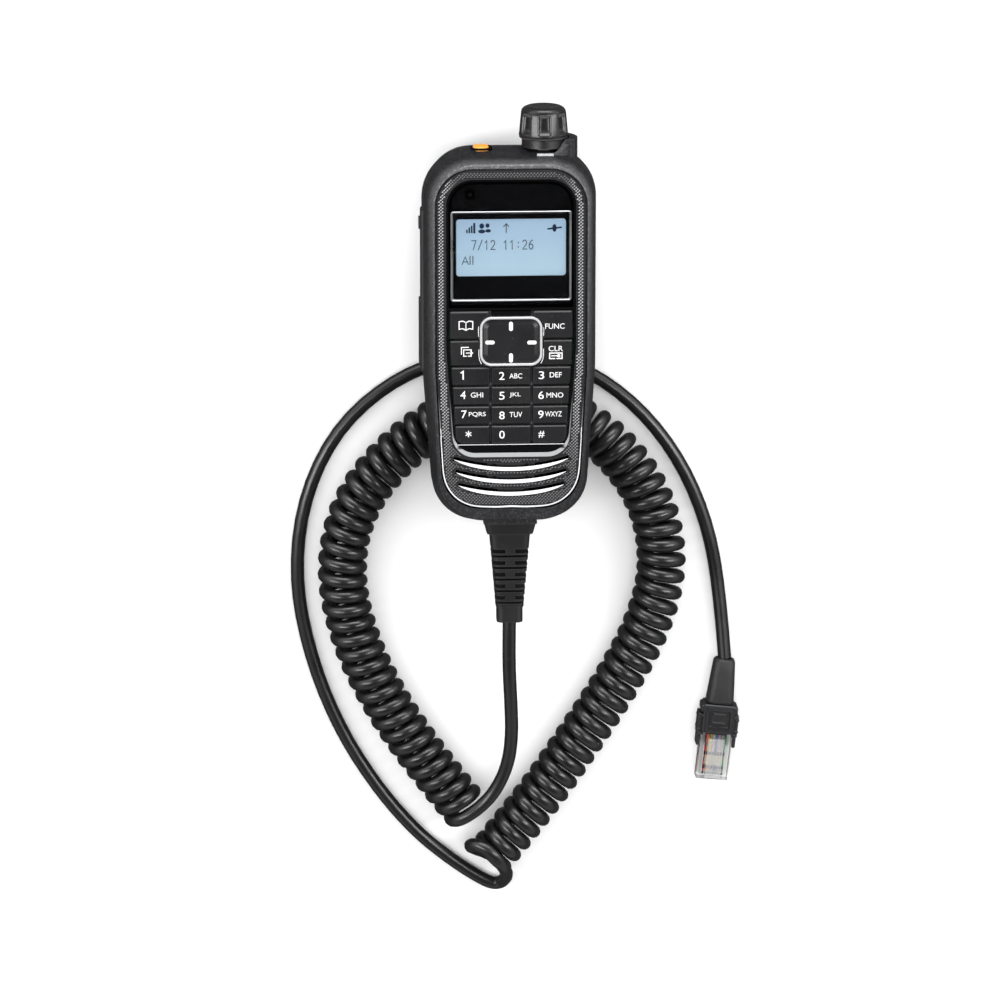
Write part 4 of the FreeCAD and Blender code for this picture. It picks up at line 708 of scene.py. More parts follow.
def strokeCorners(places, width):
    # a flat bar along a run of places, mitred at its corners
    places = [Vector((x, y, 0)) for x, y in places]
    ways = [(after - before).normalized() for before, after in zip(places, places[1:])]
    left = []
    right = []
    for number, place in enumerate(places):
        before = ways[max(number - 1, 0)]
        after = ways[min(number, len(ways) - 1)]
        across = (before + after).normalized()
        side = Vector((-across.y, across.x, 0))
        reach = width / 2 / max(side.dot(Vector((-before.y, before.x, 0))), 0.5)
        cap = Vector()
        if number == 0:
            cap = -before * width / 2
        if number == len(places) - 1:
            cap = after * width / 2
        left.append(place + cap + side * reach)
        right.append(place + cap - side * reach)
    up = Vector((0, 0, 1))
    rings = [(a, b, b + up, a + up) for a, b in zip(left, right)]
    return loft(rings, flip=True)


def roundCorners(x, y, radiusX, radiusY, bar=0.0):
    # a disc, or a round-ended bar when bar, half its straight length, isn't nought
    ring = []
    steps = legendValues["round"]
    for number in range(2 * steps):
        angle = math.pi * (number + 0.5) / steps
        shift = bar if math.sin(angle) > 0 else -bar
        along = Vector((radiusX * math.cos(angle), radiusY * math.sin(angle) + shift, 0))
        ring.append(Vector((x, y, 0)) + along)
    return loft([ring, [corner + Vector((0, 0, 1)) for corner in ring]])


def buildMarks(name, marks, faceHeight, look, slot, body="housing"):
    # marks: ("text", words, x, y, width, height), ("line", [places], width),
    # ("disc", x, y, radiusX, radiusY), in millimetres
    corners = []
    faces = []
    for order, (kind, *sizes) in enumerate(marks):
        if kind == "text":
            words, x, y, width, height = sizes
            found, loops = glyphCorners(words, legendValues["weight"])
            found = [Vector((x + corner.x * width, y + corner.y * height, corner.z))
                     for corner in found]
        else:
            found, loops = (strokeCorners if kind == "line" else roundCorners)(*sizes)
        # strokes that cross lie a hair above each other
        rise = legendValues["rise"] + legendValues["step"] * (order % 5)
        faces += [tuple(len(corners) + index for index in loop) for loop in loops]
        for corner in found:
            z = faceHeight + (rise if corner.z > 0.5 else -legendValues["sink"])
            corners.append(Vector((corner.x, corner.y, z)) * mm)
    newPiece(name, corners, faces, look, slot, body)


def line(width, *places):
    return ("line", places, width)


def boxLine(x0, y0, x1, y1, width):
    # a rectangle drawn with one stroke
    middle = (x0 + x1) / 2
    return line(width, (middle, y0), (x1, y0), (x1, y1), (x0, y1), (x0, y0), (middle - 0.01, y0))


strokeShapes = {
    "1": [[(0.15, 0.76), (0.55, 1), (0.55, 0)]],
    "2": [[(0.05, 0.82), (0.28, 1), (0.72, 1), (0.95, 0.8), (0.9, 0.58), (0.05, 0), (1, 0)]],
    "6": [[(0.85, 1), (0.4, 0.85), (0.08, 0.5), (0.08, 0.2), (0.32, 0), (0.7, 0), (0.95, 0.2),
           (0.95, 0.38), (0.7, 0.56), (0.25, 0.52)]],
    "7": [[(0, 1), (1, 1), (0.35, 0)]],
    "/": [[(0.05, -0.05), (0.95, 1.05)]],
    ":": [[(0.5, 0.2), (0.5, 0.28)], [(0.5, 0.72), (0.5, 0.8)]],
    "A": [[(0, 0), (0.5, 1), (1, 0)], [(0.22, 0.33), (0.78, 0.33)]],
    "l": [[(0.5, 0), (0.5, 1)]],
}

def strokeText(words, x, y, pitch, wide, tall, width):
    # words from their left end, each sign a pitch on from the last
    return [line(width, *[(x + number * pitch + px * wide, y + py * tall) for px, py in run])
            for number, sign in enumerate(words) for run in strokeShapes.get(sign, [])]


# one row for each key: the digit's place, the letters, their place and width
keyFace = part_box("key_5")[1].z / mm
digitSize, letterTall = (1.95, 2.85), 1.85
digitKeys = {
    "2": (-3.34, -39.83, "ABC", 1.63, -39.89, 4.58),
    "3": (10.8, -39.73, "DEF", 15.88, -39.62, 4.3),
    "4": (-17.14, -46.62, "GHI", -12.18, -46.67, 4.37),
    "5": (-3.3, -47.05, "JKL", 1.43, -46.84, 4.0),
    "6": (10.68, -46.99, "MNO", 15.59, -47.01, 5.98),
    "7": (-16.8, -53.69, "PQRS", -12.1, -53.8, 6.02),
    "8": (-3.28, -54.23, "TUV", 1.68, -53.97, 4.51),
    "9": (10.61, -54.06, "WXYZ", 15.09, -53.91, 5.95),
}
keyMarks = {"key_1": [line(0.5, (-17.75, -38.5), (-17.1, -38.05), (-17.1, -40.75))]}
keyMarks.update({f"key_{digit}": [("text", digit, x, y, *digitSize),
                                  ("text", letters, letterX, letterY, letterWide, letterTall)]
                 for digit, (x, y, letters, letterX, letterY, letterWide) in digitKeys.items()})
keyMarks.update({
    "key_star": [line(0.34, (-15.22, -59.9), (-15.22, -61.9)),
                 line(0.34, (-16.1, -60.4), (-14.35, -61.4)),
                 line(0.34, (-16.1, -61.4), (-14.35, -60.4))],
    "key_0": [("text", "0", -3.27, -61.27, *digitSize)],
    "key_hash": [("text", "#", 10.8, -61.34, 2.2, 2.5)],
    "key_book": [line(0.22, (-11.55, -21.9), (-11.68, -23.6), (-11.55, -25.3)),
                 line(0.36, (-16.08, -20.3), (-17.2, -19.75), (-18.5, -19.95), (-18.5, -22.7),
                      (-17.2, -22.5), (-16.08, -23.1), (-14.96, -22.5), (-13.66, -22.7),
                      (-13.66, -19.95), (-14.96, -19.75), (-16.05, -20.3)),
                 line(0.3, (-16.08, -20.5), (-16.08, -22.9))],
    "key_list": [line(0.22, (-11.5, -30.2), (-11.5, -32.3), (-11.25, -34.0), (-10.6, -35.3)),
                 boxLine(-16.9, -32.5, -14.2, -30.2, 0.34),
                 line(0.34, (-17.7, -31.7), (-17.7, -29.3), (-15.2, -29.3)),
                 line(0.3, (-16.0, -31.35), (-13.7, -31.35)),
                 line(0.3, (-14.4, -30.8), (-13.7, -31.35), (-14.4, -31.9))],
    "key_function": [line(0.18, (11.55, -22.4), (11.6, -23.6), (11.5, -25.3)),
                     ("text", "FUNC", 15.53, -21.93, 6.9, 1.95)],
    "key_clear": [line(0.22, (11.5, -30.2), (11.5, -32.3), (11.25, -34.0), (10.6, -35.3)),
                  ("text", "CLR", 15.86, -30.07, 5.1, 1.95),
                  boxLine(13.7, -33.7, 18.1, -31.7, 0.4), ("disc", 16.9, -32.7, 0.6, 0.6),
                  line(0.34, (14.4, -32.7), (16.5, -32.7))],
})
for key, marks in keyMarks.items():
    buildMarks(f"{key}_legend", marks, keyFace, "legendWhite", "silver_trim", key)

# bars on the navigation pad: place, and whether they lie across
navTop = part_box("nav_pad")[1].z / mm
navSizes = {"radius": 0.69, "half": 0.98, "rise": 0.06, "sink": 0.8}
navBars = {"navMarkTop": (-0.08, -21.86, False), "navMarkBottom": (-0.08, -33.3, False),
           "navMarkLeft": (-7.53, -27.61, True), "navMarkRight": (7.38, -27.78, True)}
for name, (x, y, lying) in navBars.items():
    corners, faces = roundCorners(0, 0, navSizes["radius"], navSizes["radius"], navSizes["half"])
    placed = []
    for corner in corners:
        away = (corner.y, -corner.x) if lying else (corner.x, corner.y)
        z = navTop + (navSizes["rise"] if corner.z > 0.5 else -navSizes["sink"])
        placed.append(Vector((x + away[0], y + away[1], z)) * mm)
    newPiece(name, placed, faces, "legendWhite", "silver_trim", "nav_pad")
print("legends built")


def roundedRing(halfWidth, low, high, corner):
    steps = 8
    right, left, top, foot = halfWidth - corner, corner - halfWidth, high - corner, low + corner
    ring = []
    for quarter, (x, y) in enumerate(((right, top), (left, top), (left, foot), (right, foot))):
        for step in range(steps + 1):
            angle = math.radians(90 * (quarter + step / steps))
            ring.append((x + corner * math.cos(angle), y + corner * math.sin(angle)))
    return ring


def raised(ring, z):
    return [Vector((x, y, z)) * mm for x, y in ring]


displaySizes = {"halfWidth": 19.45, "low": -3.8, "high": 16.7, "corner": 1.1, "under": 0.5,
                "thick": 0.1, "lift": 0.08, "maskGap": 0.03, "maskInset": 0.3, "maskCorner": 9.0,
                "maskFoot": 0.5, "marks": 0.1}


def buildDisplay(values):
    # the lit face, and a black mask with its opening under the window
    half, low, high, corner = [values[name] for name in ("halfWidth", "low", "high", "corner")]
    under = values["under"]
    wide = roundedRing(half + under, low - under, high + under, corner)
    top = glassTop + values["lift"]
    newPiece("displayFace", *loft([raised(wide, top - values["thick"]), raised(wide, top)]),
             "displayBlue", "display_blue")
    lensLow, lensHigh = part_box("window_lens")
    inset = values["maskInset"]
    foot = lensLow.y / mm + inset
    right, head = lensHigh.x / mm - inset, lensHigh.y / mm - inset
    outer = roundedRing(right, foot, head, values["maskCorner"])
    # the mask is round above and nearly square below
    below = len(outer) // 2
    outer[below:] = [(x, y if abs(y - foot) < 1e-6 else min(y, foot + values["maskFoot"]))
                     for x, y in outer[below:]]
    hole = roundedRing(half, low, high, corner)
    top = lensLow.z / mm - values["maskGap"]
    rings = [raised(outer, top - values["thick"]), raised(outer, top), raised(hole, top),
             raised(hole, top - values["thick"])]
    newPiece("windowMask", *loft(rings, closed=True), "maskBlack", "display_blue")


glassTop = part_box("display_glass")[1].z / mm
buildDisplay(displaySizes)

displayTop = glassTop + displaySizes["marks"]
displayMarks = [
    line(0.55, (-15.6, 11.9), (-15.6, 12.6)), line(0.55, (-14.75, 11.9), (-14.75, 13.4)),
    line(0.55, (-13.9, 11.9), (-13.9, 14.0)), line(0.75, (-13.0, 11.9), (-13.0, 14.9)),
    ("disc", -10.35, 14.15, 0.85, 0.95), ("disc", -10.35, 12.2, 1.25, 0.7),
    ("disc", -8.3, 14.3, 0.7, 0.8), ("disc", -8.1, 12.4, 1.0, 0.6),
    line(0.3, (-1.7, 11.7), (-1.7, 14.9)),
    line(0.3, (-2.6, 13.9), (-1.7, 14.9), (-0.8, 13.9)),
    line(0.6, (13.2, 12.9), (17.7, 13.4)), ("disc", 15.4, 13.2, 0.75, 1.4),
]
displayWords = (strokeText("7/12 11:26", -13.9, 5.7, 2.25, 1.5, 3.2, 0.34)
                + strokeText("A", -17.3, 0.4, 2, 2.2, 2.7, 0.34)
                + strokeText("ll", -14.9, 0.4, 1.0, 0.8, 2.9, 0.34))
buildMarks("displaySymbols", displayMarks, displayTop, "segmentBlue", "display_blue")
buildMarks("displayText", displayWords, displayTop, "segmentGrey", "display_blue")

# the silver frame, steep outside and sloping down to the display inside: inset, height, and
# whether that is above the frame's foot or its top
frameValues = {"corner": 0.9, "leastCorner": 0.1, "rise": 0.1,
               "rows": ((0, 0, "foot"), (0, -0.1, "top"), (0.12, 0, "top"), (0.3, 0, "top"),
                        (0.9, 0.12, "foot"), (0.9, 0, "foot"))}


def buildDisplayFrame(values):
    low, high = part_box("display_trim")
    levels = {"foot": low.z / mm, "top": high.z / mm + values["rise"]}
    rings = []
    for inset, height, level in values["rows"]:
        corner = max(values["corner"] - inset, values["leastCorner"])
        ring = roundedRing(high.x / mm - inset, low.y / mm + inset, high.y / mm - inset, corner)
        rings.append(raised(ring, levels[level] + height))
    frameRing = newPiece("displayFrame", *loft(rings, closed=True), "silverTrim", "silver_trim")
    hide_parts("display_trim")


buildDisplayFrame(frameValues)
print("display built")

# painted highlight: a thin light line under the keys, where the panel's lower edge catches the
# light
panelFloor = heightAt(bezelTree, 0.0, -0.0668, 0.042) / mm
buildMarks("keypadLine", [line(0.22, (-18.9, -65.0), (18.9, -65.0))], panelFloor, "silverPaint",
           "silver_trim")

# wires: eight colours across the plug, which is turned a little
wireValues = {"turn": 5.9, "pitch": 1.02, "grainScale": 3000, "bumpDepth": 0.00003,
              "colors": ((0.62, 0.03, 0.02), (0.85, 0.32, 0.03), (0.85, 0.6, 0.12),
                         (0.75, 0.75, 0.75), (0.1, 0.16, 0.5), (0.8, 0.55, 0.58),
                         (0.5, 0.5, 0.5), (0.03, 0.35, 0.1))}


def buildWireMaterial(values):
    colors = values["colors"]
    tree, shader = startMaterial("wireColours", (0.5, 0.5, 0.5), 0.4)
    low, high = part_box("plug_wires")
    turn = math.radians(values["turn"])
    middle = (low + high) / 2
    shares = [times(tree, math2(tree, "SUBTRACT", objectAxis(tree, axis), middle[axis]), share)
              for axis, share in ((0, math.cos(turn)), (1, -math.sin(turn)))]
    across = math2(tree, "DIVIDE", math2(tree, "ADD", *shares), len(colors) * values["pitch"] * mm)
    ramp = addNode(tree, "ValToRGB", {0: math2(tree, "ADD", across, 0.5)})
    ramp.color_ramp.interpolation = "CONSTANT"
    steps = ramp.color_ramp.elements
    steps[0].position = 0
    steps[1].position = 1 / len(colors)
    while len(steps) < len(colors):
        steps.new(len(steps) / len(colors))
    for step, color in zip(steps, colors):
        step.color = (*color, 1)
    setColor(tree, shader, ramp.outputs["Color"])
    addGrain(tree, shader, values["grainScale"], 0.1, 0.2, values["bumpDepth"])


buildWireMaterial(wireValues)

# painted highlight: the bright line along the bezel's lower edge, where its rim catches the light,
# thickest in the middle
rimValues = {"centre": (0, -70), "from": -24, "to": 204, "steps": 90, "wide": 0.42, "narrow": 0.06,
             "blend": 3, "over": 0.26, "innerRise": 0.12, "outerDrop": 0.08, "thick": 0.05,
             "near": 17, "nearSides": 5.5, "far": 34, "level": 0.01}


def rimReach(start, way, values):
    # how far the bezel's flat face runs from the start, found by halving
    near = (values["near"] + values["nearSides"] * abs(way.x)) * mm
    away = values["far"] * mm
    for halving in range(16):
        middle = (near + away) / 2
        place = start + way * middle
        if heightAt(bezelTree, place.x, place.y, 0) > bezelHigh.z - values["level"] * mm:
            near = middle
        else:
            away = middle
    return near


def buildRim(values):
    start = Vector((*values["centre"], 0)) * mm
    span = values["to"] - values["from"]
    angles = [math.radians(values["from"] + span * step / values["steps"])
              for step in range(values["steps"] + 1)]
    ways = [Vector((math.cos(angle), -math.sin(angle), 0)) for angle in angles]
    reaches = [rimReach(start, way, values) for way in ways]
    inner = []
    outer = []
    for step, way in enumerate(ways):
        group = reaches[max(step - values["blend"], 0):step + values["blend"] + 1]
        reach = sum(group) / len(group) if len(group) > 2 * values["blend"] else reaches[step]
        share = math.sin(math.pi * step / values["steps"]) ** 2
        width = (values["narrow"] + (values["wide"] - values["narrow"]) * share) * mm
        for row, radius, rise in ((inner, reach - width, values["innerRise"]),
                                  (outer, reach + values["over"] * mm, -values["outerDrop"])):
            row.append(start + way * radius + Vector((0, 0, bezelHigh.z + rise * mm)))
    ribbon("bezelRim", inner, outer, values["thick"])


buildRim(rimValues)

# the orange button: a low cap in a recess, lined with a black sheet without shine as painted shade
# where the recess lies in shadow
alarmValues = {"rise": 0.42, "halfWidth": 2.75, "deepest": 3.6, "corner": 2.2, "leastCorner": 0.2,
               # inset and height of the cap's rings
               "steps": ((0, -1.6), (0, -0.35), (0.22, -0.08), (0.7, 0.05), (1.5, 0.1)),
               "shadeSheet": (3.75, 4.15), "shadeSheetCorner": 3.3, "gap": 0.25, "gapCorner": 2.4,
               # heights of the shade sheet's outer two rings and inner two
               "outside": (-0.1, 0.04), "inside": (0.02, -0.8)}


def buildAlarm(values):
    low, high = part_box("alarm_button")
    middle = (low + high) / 2
    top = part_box("knob_collar")[0].y
    half = values["halfWidth"]
    deep = min((high.z - low.z) / 2 / mm, values["deepest"])

    def stand(ring, height):
        return [Vector((middle.x + x * mm, top + height * mm, middle.z + z * mm)) for x, z in ring]

    rings = []
    for inset, step in values["steps"]:
        ring = roundedRing(half - inset, inset - deep, deep - inset,
                           max(values["corner"] - inset, values["leastCorner"]))
        rings.append(stand(ring, values["rise"] + step))
    corners, faces = loft(rings, flip=True)
    cap = newPiece("alarmCap", corners, faces, "buttonOrange", "button_orange", "alarm_button",
                   smooth=len(faces))
    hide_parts("alarm_button")
    # painted shade: a black sheet without shine lines the recess round the cap
    wide, tall = values["shadeSheet"]
    outline = roundedRing(wide, -tall, tall, values["shadeSheetCorner"])
    gap = values["gap"]
    opening = roundedRing(half + gap, -deep - gap, deep + gap, values["gapCorner"])
    rings = ([stand(outline, height) for height in values["outside"]]
             + [stand(opening, height) for height in values["inside"]])
    newPiece("alarmRecessShade", *loft(rings, closed=True, flip=True), "maskBlack", "case_plastic")


buildAlarm(alarmValues)


def rampBetween(value, start, end):
    share = min(max((value - start) / (end - start), 0.0), 1.0)
    return share * share * (3 - 2 * share)


# the rim that hugs the knob's collar and rises into the guard on the right
scoopValues = {"inner": 7.95, "outerFront": 9.0, "outerSide": 10.6, "foot": -2.4, "front": -1.4,
               "rise": 2.9, "from": 22, "to": 92, "climb": (22, 68), "steps": 32,
               "slant": (0.45, 0.5), "bevels": (0.3, 0.1, 0.2)}


def buildScoop(values):
    low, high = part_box("knob_collar")
    middle = (low + high) / 2
    inner, foot = values["inner"], values["foot"]
    inward, upward, outward = values["bevels"]
    rows = []
    for step in range(values["steps"] + 1):
        degrees = values["from"] + (values["to"] - values["from"]) * step / values["steps"]
        climb = rampBetween(degrees, *values["climb"])
        outer = values["outerFront"] + (values["outerSide"] - values["outerFront"]) * climb
        top = values["front"] + (values["rise"] - values["front"]) * climb
        slope = top - values["slant"][0] - values["slant"][1] * climb
        angle = math.radians(degrees)
        profile = [(inner, foot), (inner, top), (inner + inward, top + upward),
                   (outer - outward, slope), (outer, slope - inward), (outer, foot)]
        rows.append([(middle.x + reach * mm * math.sin(angle), low.y + y * mm,
                      middle.z + reach * mm * math.cos(angle)) for reach, y in profile])
    newPiece("guardScoop", *loft(rows, flip=True), "casePlastic", "case_plastic")


buildScoop(scoopValues)

# the volume knob: a turned body with seven scooped flutes and a dished top
turnedValues = {
    "flutes": 7, "steps": 252, "depth": 0.95, "flat": 10.0, "wide": 16.5,
    "low": (1.7, 2.9), "high": (8.3, 8.9), "bore": 3.05, "shaftGap": 0.1,
    # height above the foot and radius
    "profile": ((0.0, 8.35), (0.2, 8.62), (1.2, 8.72), (1.7, 8.7), (2.1, 8.68), (2.5, 8.65),
                (2.9, 8.63), (4.4, 8.5), (6.2, 8.35), (7.6, 8.2), (8.3, 8.13), (8.6, 8.1),
                (8.9, 8.05), (9.4, 7.95), (10.0, 7.75), (10.6, 7.3), (11.05, 6.6), (11.33, 5.9),
                (11.4, 5.6), (11.25, 5.3), (11.15, 4.6), (11.15, 2.0)),
}


def buildVolumeKnob(values):
    low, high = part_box("volume_knob")
    middle = (low + high) / 2
    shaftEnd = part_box("encoder_shaft")[1].y + values["shaftGap"] * mm
    rows = [(shaftEnd, values["bore"], 0.0), (low.y, values["bore"], 0.0)]
    for rise, radius in values["profile"]:
        reach = rampBetween(rise, *values["low"]) * (1 - rampBetween(rise, *values["high"]))
        rows.append((low.y + rise * mm, radius, reach * values["depth"]))
    turn = 2 * math.pi / values["flutes"]
    rings = []
    for y, radius, depth in rows:
        ring = []
        for step in range(values["steps"]):
            angle = 2 * math.pi * step / values["steps"]
            off = abs((angle + turn / 2) % turn - turn / 2)
            scoop = 1 - rampBetween(math.degrees(off), values["flat"], values["wide"])
            reach = (radius - depth * scoop) * mm
            ring.append((middle.x + reach * math.sin(angle), y, middle.z + reach * math.cos(angle)))
        rings.append(ring)
    corners, faces = loft(rings)
    knob = newPiece("turnedKnob", corners, faces, "knobPlastic", "knob_plastic", "volume",
                    smooth=len(faces))
    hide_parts("volume_knob")


buildVolumeKnob(turnedValues)

# the plug's cover: a core with shoulders, ribbed side wings, long skirts and a framed press tab
plugValues = {
    "place": (80.7, -155.4, 5.4), "turn": -5.9,
    # low x, high x, near end, far end, low z, high z, edge bevel
    "blocks": [(-5.95, 5.95, 17.0, 27.9, -4.9, 5.0, 0.7), (-6.8, 6.8, 17.6, 20.3, -4.5, 4.2, 0.6),
               (-3.95, 3.95, 19.2, 26.1, 4.6, 5.12, 0.1), (-2.6, 2.6, 19.7, 24.4, 5.0, 5.5, 0.2),
               (-2.3, 2.3, 23.2, 24.1, 5.3, 6.15, 0.25), (-2.2, 2.2, 20.1, 20.7, 5.3, 5.8, 0.2),
               (-3.8, 3.8, 25.0, 25.6, 5.0, 5.45, 0.15), (-3.7, 3.7, 27.6, 28.5, 1.5, 4.5, 0.3)],
    "sideBlocks": [(5.7, 7.5, 20.9, 29.3, -3.9, 3.6, 0.5), (6.1, 7.7, 22.2, 23.0, -3.2, 3.95, 0.25),
                   (6.1, 7.7, 26.6, 27.4, -3.2, 3.9, 0.25), (5.2, 6.6, 21.2, 22.0, 3.0, 4.6, 0.25),
                   (5.2, 6.9, 28.1, 28.9, 1.0, 4.1, 0.25), (6.0, 7.25, 29.0, 33.4, -3.6, 2.9, 0.4)],
    # half width, near and far end, corner, line width, low z, high z, edge drop, top's lean
    "frame": (4.9, 18.0, 27.3, 1.4, 0.9, 4.9, 5.95, 0.15, 0.03, 0.02),
}


def plugPoint(x, along, z):
    turn = Matrix.Rotation(math.radians(plugValues["turn"]), 4, "Z")
    return (Vector(plugValues["place"]) + turn @ Vector((x, -along, z))) * mm


def addBlock(shape, x0, x1, near, far, z0, z1, bevel):
    made = bmesh.ops.create_cube(shape, size=1.0)["verts"]
    for corner in made:
        corner.co = Vector(((x0 + x1) / 2 + corner.co.x * (x1 - x0),
                            (near + far) / 2 + corner.co.y * (far - near),
                            (z0 + z1) / 2 + corner.co.z * (z1 - z0)))
    edges = list({edge for corner in made for edge in corner.link_edges})
    bmesh.ops.bevel(shape, geom=edges, offset=bevel, segments=3, profile=0.5, affect="EDGES")


def buildPlugCover(values):
    shape = bmesh.new()
    for block in values["blocks"]:
        addBlock(shape, *block)
    for x0, x1, *rest in values["sideBlocks"]:
        addBlock(shape, x0, x1, *rest)
        addBlock(shape, -x1, -x0, *rest)
    half, near, far, corner, width, low, high, drop, leanOut, leanIn = values["frame"]
    outer = roundedRing(half, near, far, corner)
    inner = roundedRing(half - width, near + width, far - width, corner - 0.5)
    rings = [[(x * (1 + lean), y, z) for x, y in ring] for ring, lean, z in (
        (outer, 0, low), (outer, 0, high - drop), (outer, -leanOut, high), (inner, leanIn, high),
        (inner, 0, low))]
    corners, faces = loft(rings, closed=True)
    made = [shape.verts.new(corner) for corner in corners]
    for face in faces:
        shape.faces.new([made[number] for number in face])
    for corner in shape.verts:
        corner.co = plugPoint(*corner.co)
    bmesh.ops.recalc_face_normals(shape, faces=shape.faces)
    mesh = bpy.data.meshes.new("plugCover")
    shape.to_mesh(mesh)
    shape.free()
    cover = placePiece("plugCover", mesh, "coverPlastic")
    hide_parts("plug_cover")
    return cover


plugCover = buildPlugCover(plugValues)

# marks seen inside the clear plug: the blades' ends and a pale bridge over the cores
insideValues = {"height": 0.95, "thick": 0.12, "pitch": 1.02, "count": 8, "half": 0.3,
                "rows": ((35.7, 36.9), (41.0, 42.2), (43.5, 44.3)), "bridge": (3.3, 37.2, 40.5)}


def plugPlates(name, look, plates):
    # flat plates, each from its middle, half width, near end and far end
    low, high = insideValues["height"], insideValues["height"] + insideValues["thick"]
    corners = []
    faces = []
    for x, half, near, far in plates:
        outline = ((x - half, near), (x + half, near), (x + half, far), (x - half, far))
        found, loops = loft([[plugPoint(*place, z) for place in outline] for z in (low, high)],
                            flip=True)
        faces += [tuple(len(corners) + index for index in loop) for loop in loops]
        corners += found
    return newPiece(name, corners, faces, look, "plug_clear")


def buildInsides(values):
    places = [(number - (values["count"] - 1) / 2) * values["pitch"]
              for number in range(values["count"])]
    marks = [(x, values["half"], *ends) for ends in values["rows"] for x in places]
    return [plugPlates("plugMarks", "maskBlack", marks),
            plugPlates("plugBridge", "bridgeCream", [(0, *values["bridge"])])]


# the plug's tapered boot, round-cornered and bored for the cord
bootShape = {"length": 16.6, "bore": 2.46,
             # along, half width, half depth, corner
             "rows": ((0.0, 3.05, 2.75, 2.3), (0.35, 3.6, 3.3, 2.6), (1.1, 3.95, 3.65, 2.7),
                      (5.0, 4.25, 3.95, 2.7), (10.0, 4.6, 4.3, 2.7), (15.9, 5.0, 4.6, 2.6),
                      (16.6, 4.9, 4.5, 2.5))}


def buildBoot(values):
    rings = [[(x, along, z) for x, z in roundedRing(wide, -deep, deep, corner)]
             for along, wide, deep, corner in values["rows"]]
    angles = [math.atan2(z, x) for x, y, z in rings[0]]
    for along in (values["length"], 0.0):
        rings.append([(values["bore"] * math.cos(angle), along, values["bore"] * math.sin(angle))
                      for angle in angles])
    placed = [[plugPoint(*place) for place in ring] for ring in rings]
    # the ends and the bore are flat
    outside = (len(rings) - 3) * len(angles)
    boot = newPiece("taperedBoot", *loft(placed, closed=True), "bootRubber", "boot_rubber",
                    smooth=outside)
    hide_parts("plug_boot")
    return boot


plugBoot = buildBoot(bootShape)
plugInsides = buildInsides(insideValues)
print("rim, button, knob and plug built")

finishes = {
    "casePlastic": "rear_case front_case",
    "bezelPlastic": "front_bezel nav_mask",
    "studMetal": "hanger_stud",
    "screwSteel": "hanger_screw board_screws case_screws",
    "windowClear": "window_lens",
    "silverTrim": "display_trim",
    "ringSilver": "nav_ring",
    "displayEdge": "display_glass",
    "backlightWhite": "display_backlight",
    "keyPlastic": "key_book key_list key_function key_clear key_1 key_2 key_3 key_4 key_5 key_6 "
                  "key_7 key_8 key_9 key_star key_0 key_hash nav_pad",
    "sheetRubber": "switch_sheet",
    "boardGreen": "main_board",
    "speakerSteel": "speaker microphone_element",
    "speakerFabric": "speaker_cloth",
    "talkRubber": "microphone_boot talk_key",
    "switchPlastic": "talk_switch alarm_switch encoder cord_clamp",
    "lampTintAndHighlight": "indicator_led indicator_window",
    "connectorWhite": "cord_connector",
    "knobPlastic": "volume_knob",
    "shaftBrass": "encoder_shaft",
    "buttonOrange": "alarm_button",
    "reliefRubber": "strain_relief knob_collar",
    "bootRubber": "plug_boot",
    "coverPlastic": "plug_cover",
    "plugClear": "plug_body",
    "latchClear": "plug_latch",
    "wireColours": "plug_wires",
    "contactGold": "plug_contacts",
}
for look, names in finishes.items():
    for name in names.split():
        slots = nodes[name].data.materials
        slots.clear()
        slots.append(looks[look])
left = set(nodes) - set(" ".join(finishes.values()).split())
print("finishes placed; without one:", sorted(left))

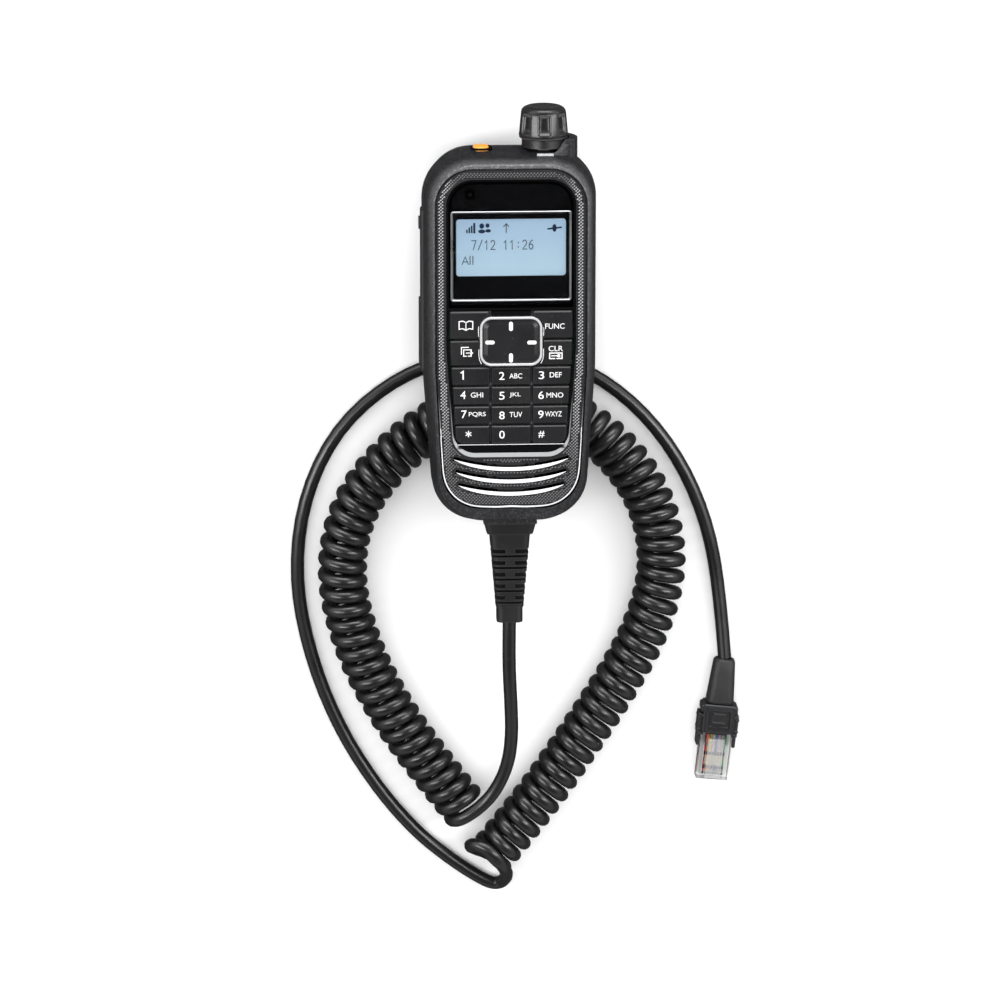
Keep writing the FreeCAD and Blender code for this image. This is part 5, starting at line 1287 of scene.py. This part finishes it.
# floor and light
lightValues = {
    "floorColor": (0.9, 0.9, 0.9), "floorHalf": 6, "floorHeight": -0.0002,
    "aim": (0, -0.09, 0), "sides": 0.5, "farSide": 1.5, "overhead": 0.02, "below": 0.1,
    # where the sky goes over from one strength to the next
    "farRange": (-0.1, 0.7), "lowRange": (-0.1, 0.08), "highRange": (0.5, 0.85),
    # the lamp straight above only lights the paper and the legends, it isn't mirrored
    "lamps": {"far": {"place": (0.15, 1.5, 0.6), "size": (1.5, 0.5), "watts": 14, "mirrored": True},
              "left": {"place": (-0.95, 0.0, 1.15), "size": (0.35, 1.1), "watts": 11,
                       "mirrored": True},
              "right": {"place": (1.0, 0.15, 1.1), "size": (0.35, 1.1), "watts": 11,
                        "mirrored": True},
              "top": {"place": (0.0, -0.1, 2.0), "size": (1.3, 1.3), "watts": 24,
                      "mirrored": False}},
}


def buildFloor(values):
    half, height = values["floorHalf"], values["floorHeight"]
    corners = [(x * half, y * half, height) for x, y in ((-1, -1), (1, -1), (1, 1), (-1, 1))]
    mesh = bpy.data.meshes.new("floor")
    mesh.from_pydata(corners, [], [(0, 1, 2, 3)])
    startMaterial("floorPaper", values["floorColor"], 0.9)
    mesh.materials.append(looks["floorPaper"])
    floor = bpy.data.objects.new("floor", mesh)
    # the paper isn't mirrored in the black faces
    floor.visible_glossy = False
    bpy.context.collection.objects.link(floor)


def buildLights(values):
    for name, sizes in values["lamps"].items():
        lamp = bpy.data.lights.new(name, "AREA")
        lamp.shape = "RECTANGLE"
        lamp.size, lamp.size_y = sizes["size"]
        lamp.energy = sizes["watts"]
        holder = bpy.data.objects.new(name, lamp)
        holder.visible_glossy = sizes["mirrored"]
        holder.visible_transmission = sizes["mirrored"]
        holder.location = sizes["place"]
        way = Vector(values["aim"]) - Vector(sizes["place"])
        holder.rotation_euler = way.to_track_quat("-Z", "Y").to_euler()
        bpy.context.collection.objects.link(holder)
    # the sky is bright round the sides and dark overhead and below, so black faces stay black
    world = bpy.data.worlds.new("studio")
    world.use_nodes = True
    tree = world.node_tree
    way = addNode(tree, "TexCoord").outputs["Generated"]
    split = addNode(tree, "SeparateXYZ", {0: way}).outputs
    far = blendRange(tree, split[1], *values["farRange"], values["sides"], values["farSide"])
    ring = blendRange(tree, split[2], *values["lowRange"], values["below"], far)
    strength = blendRange(tree, split[2], *values["highRange"], ring, values["overhead"])
    back = tree.nodes["Background"]
    back.inputs["Color"].default_value = (1, 1, 1, 1)
    tree.links.new(strength, back.inputs["Strength"])
    bpy.context.scene.world = world


buildFloor(lightValues)
buildLights(lightValues)
bpy.context.scene.view_settings.view_transform = "Standard"
print("floor and lights placed")
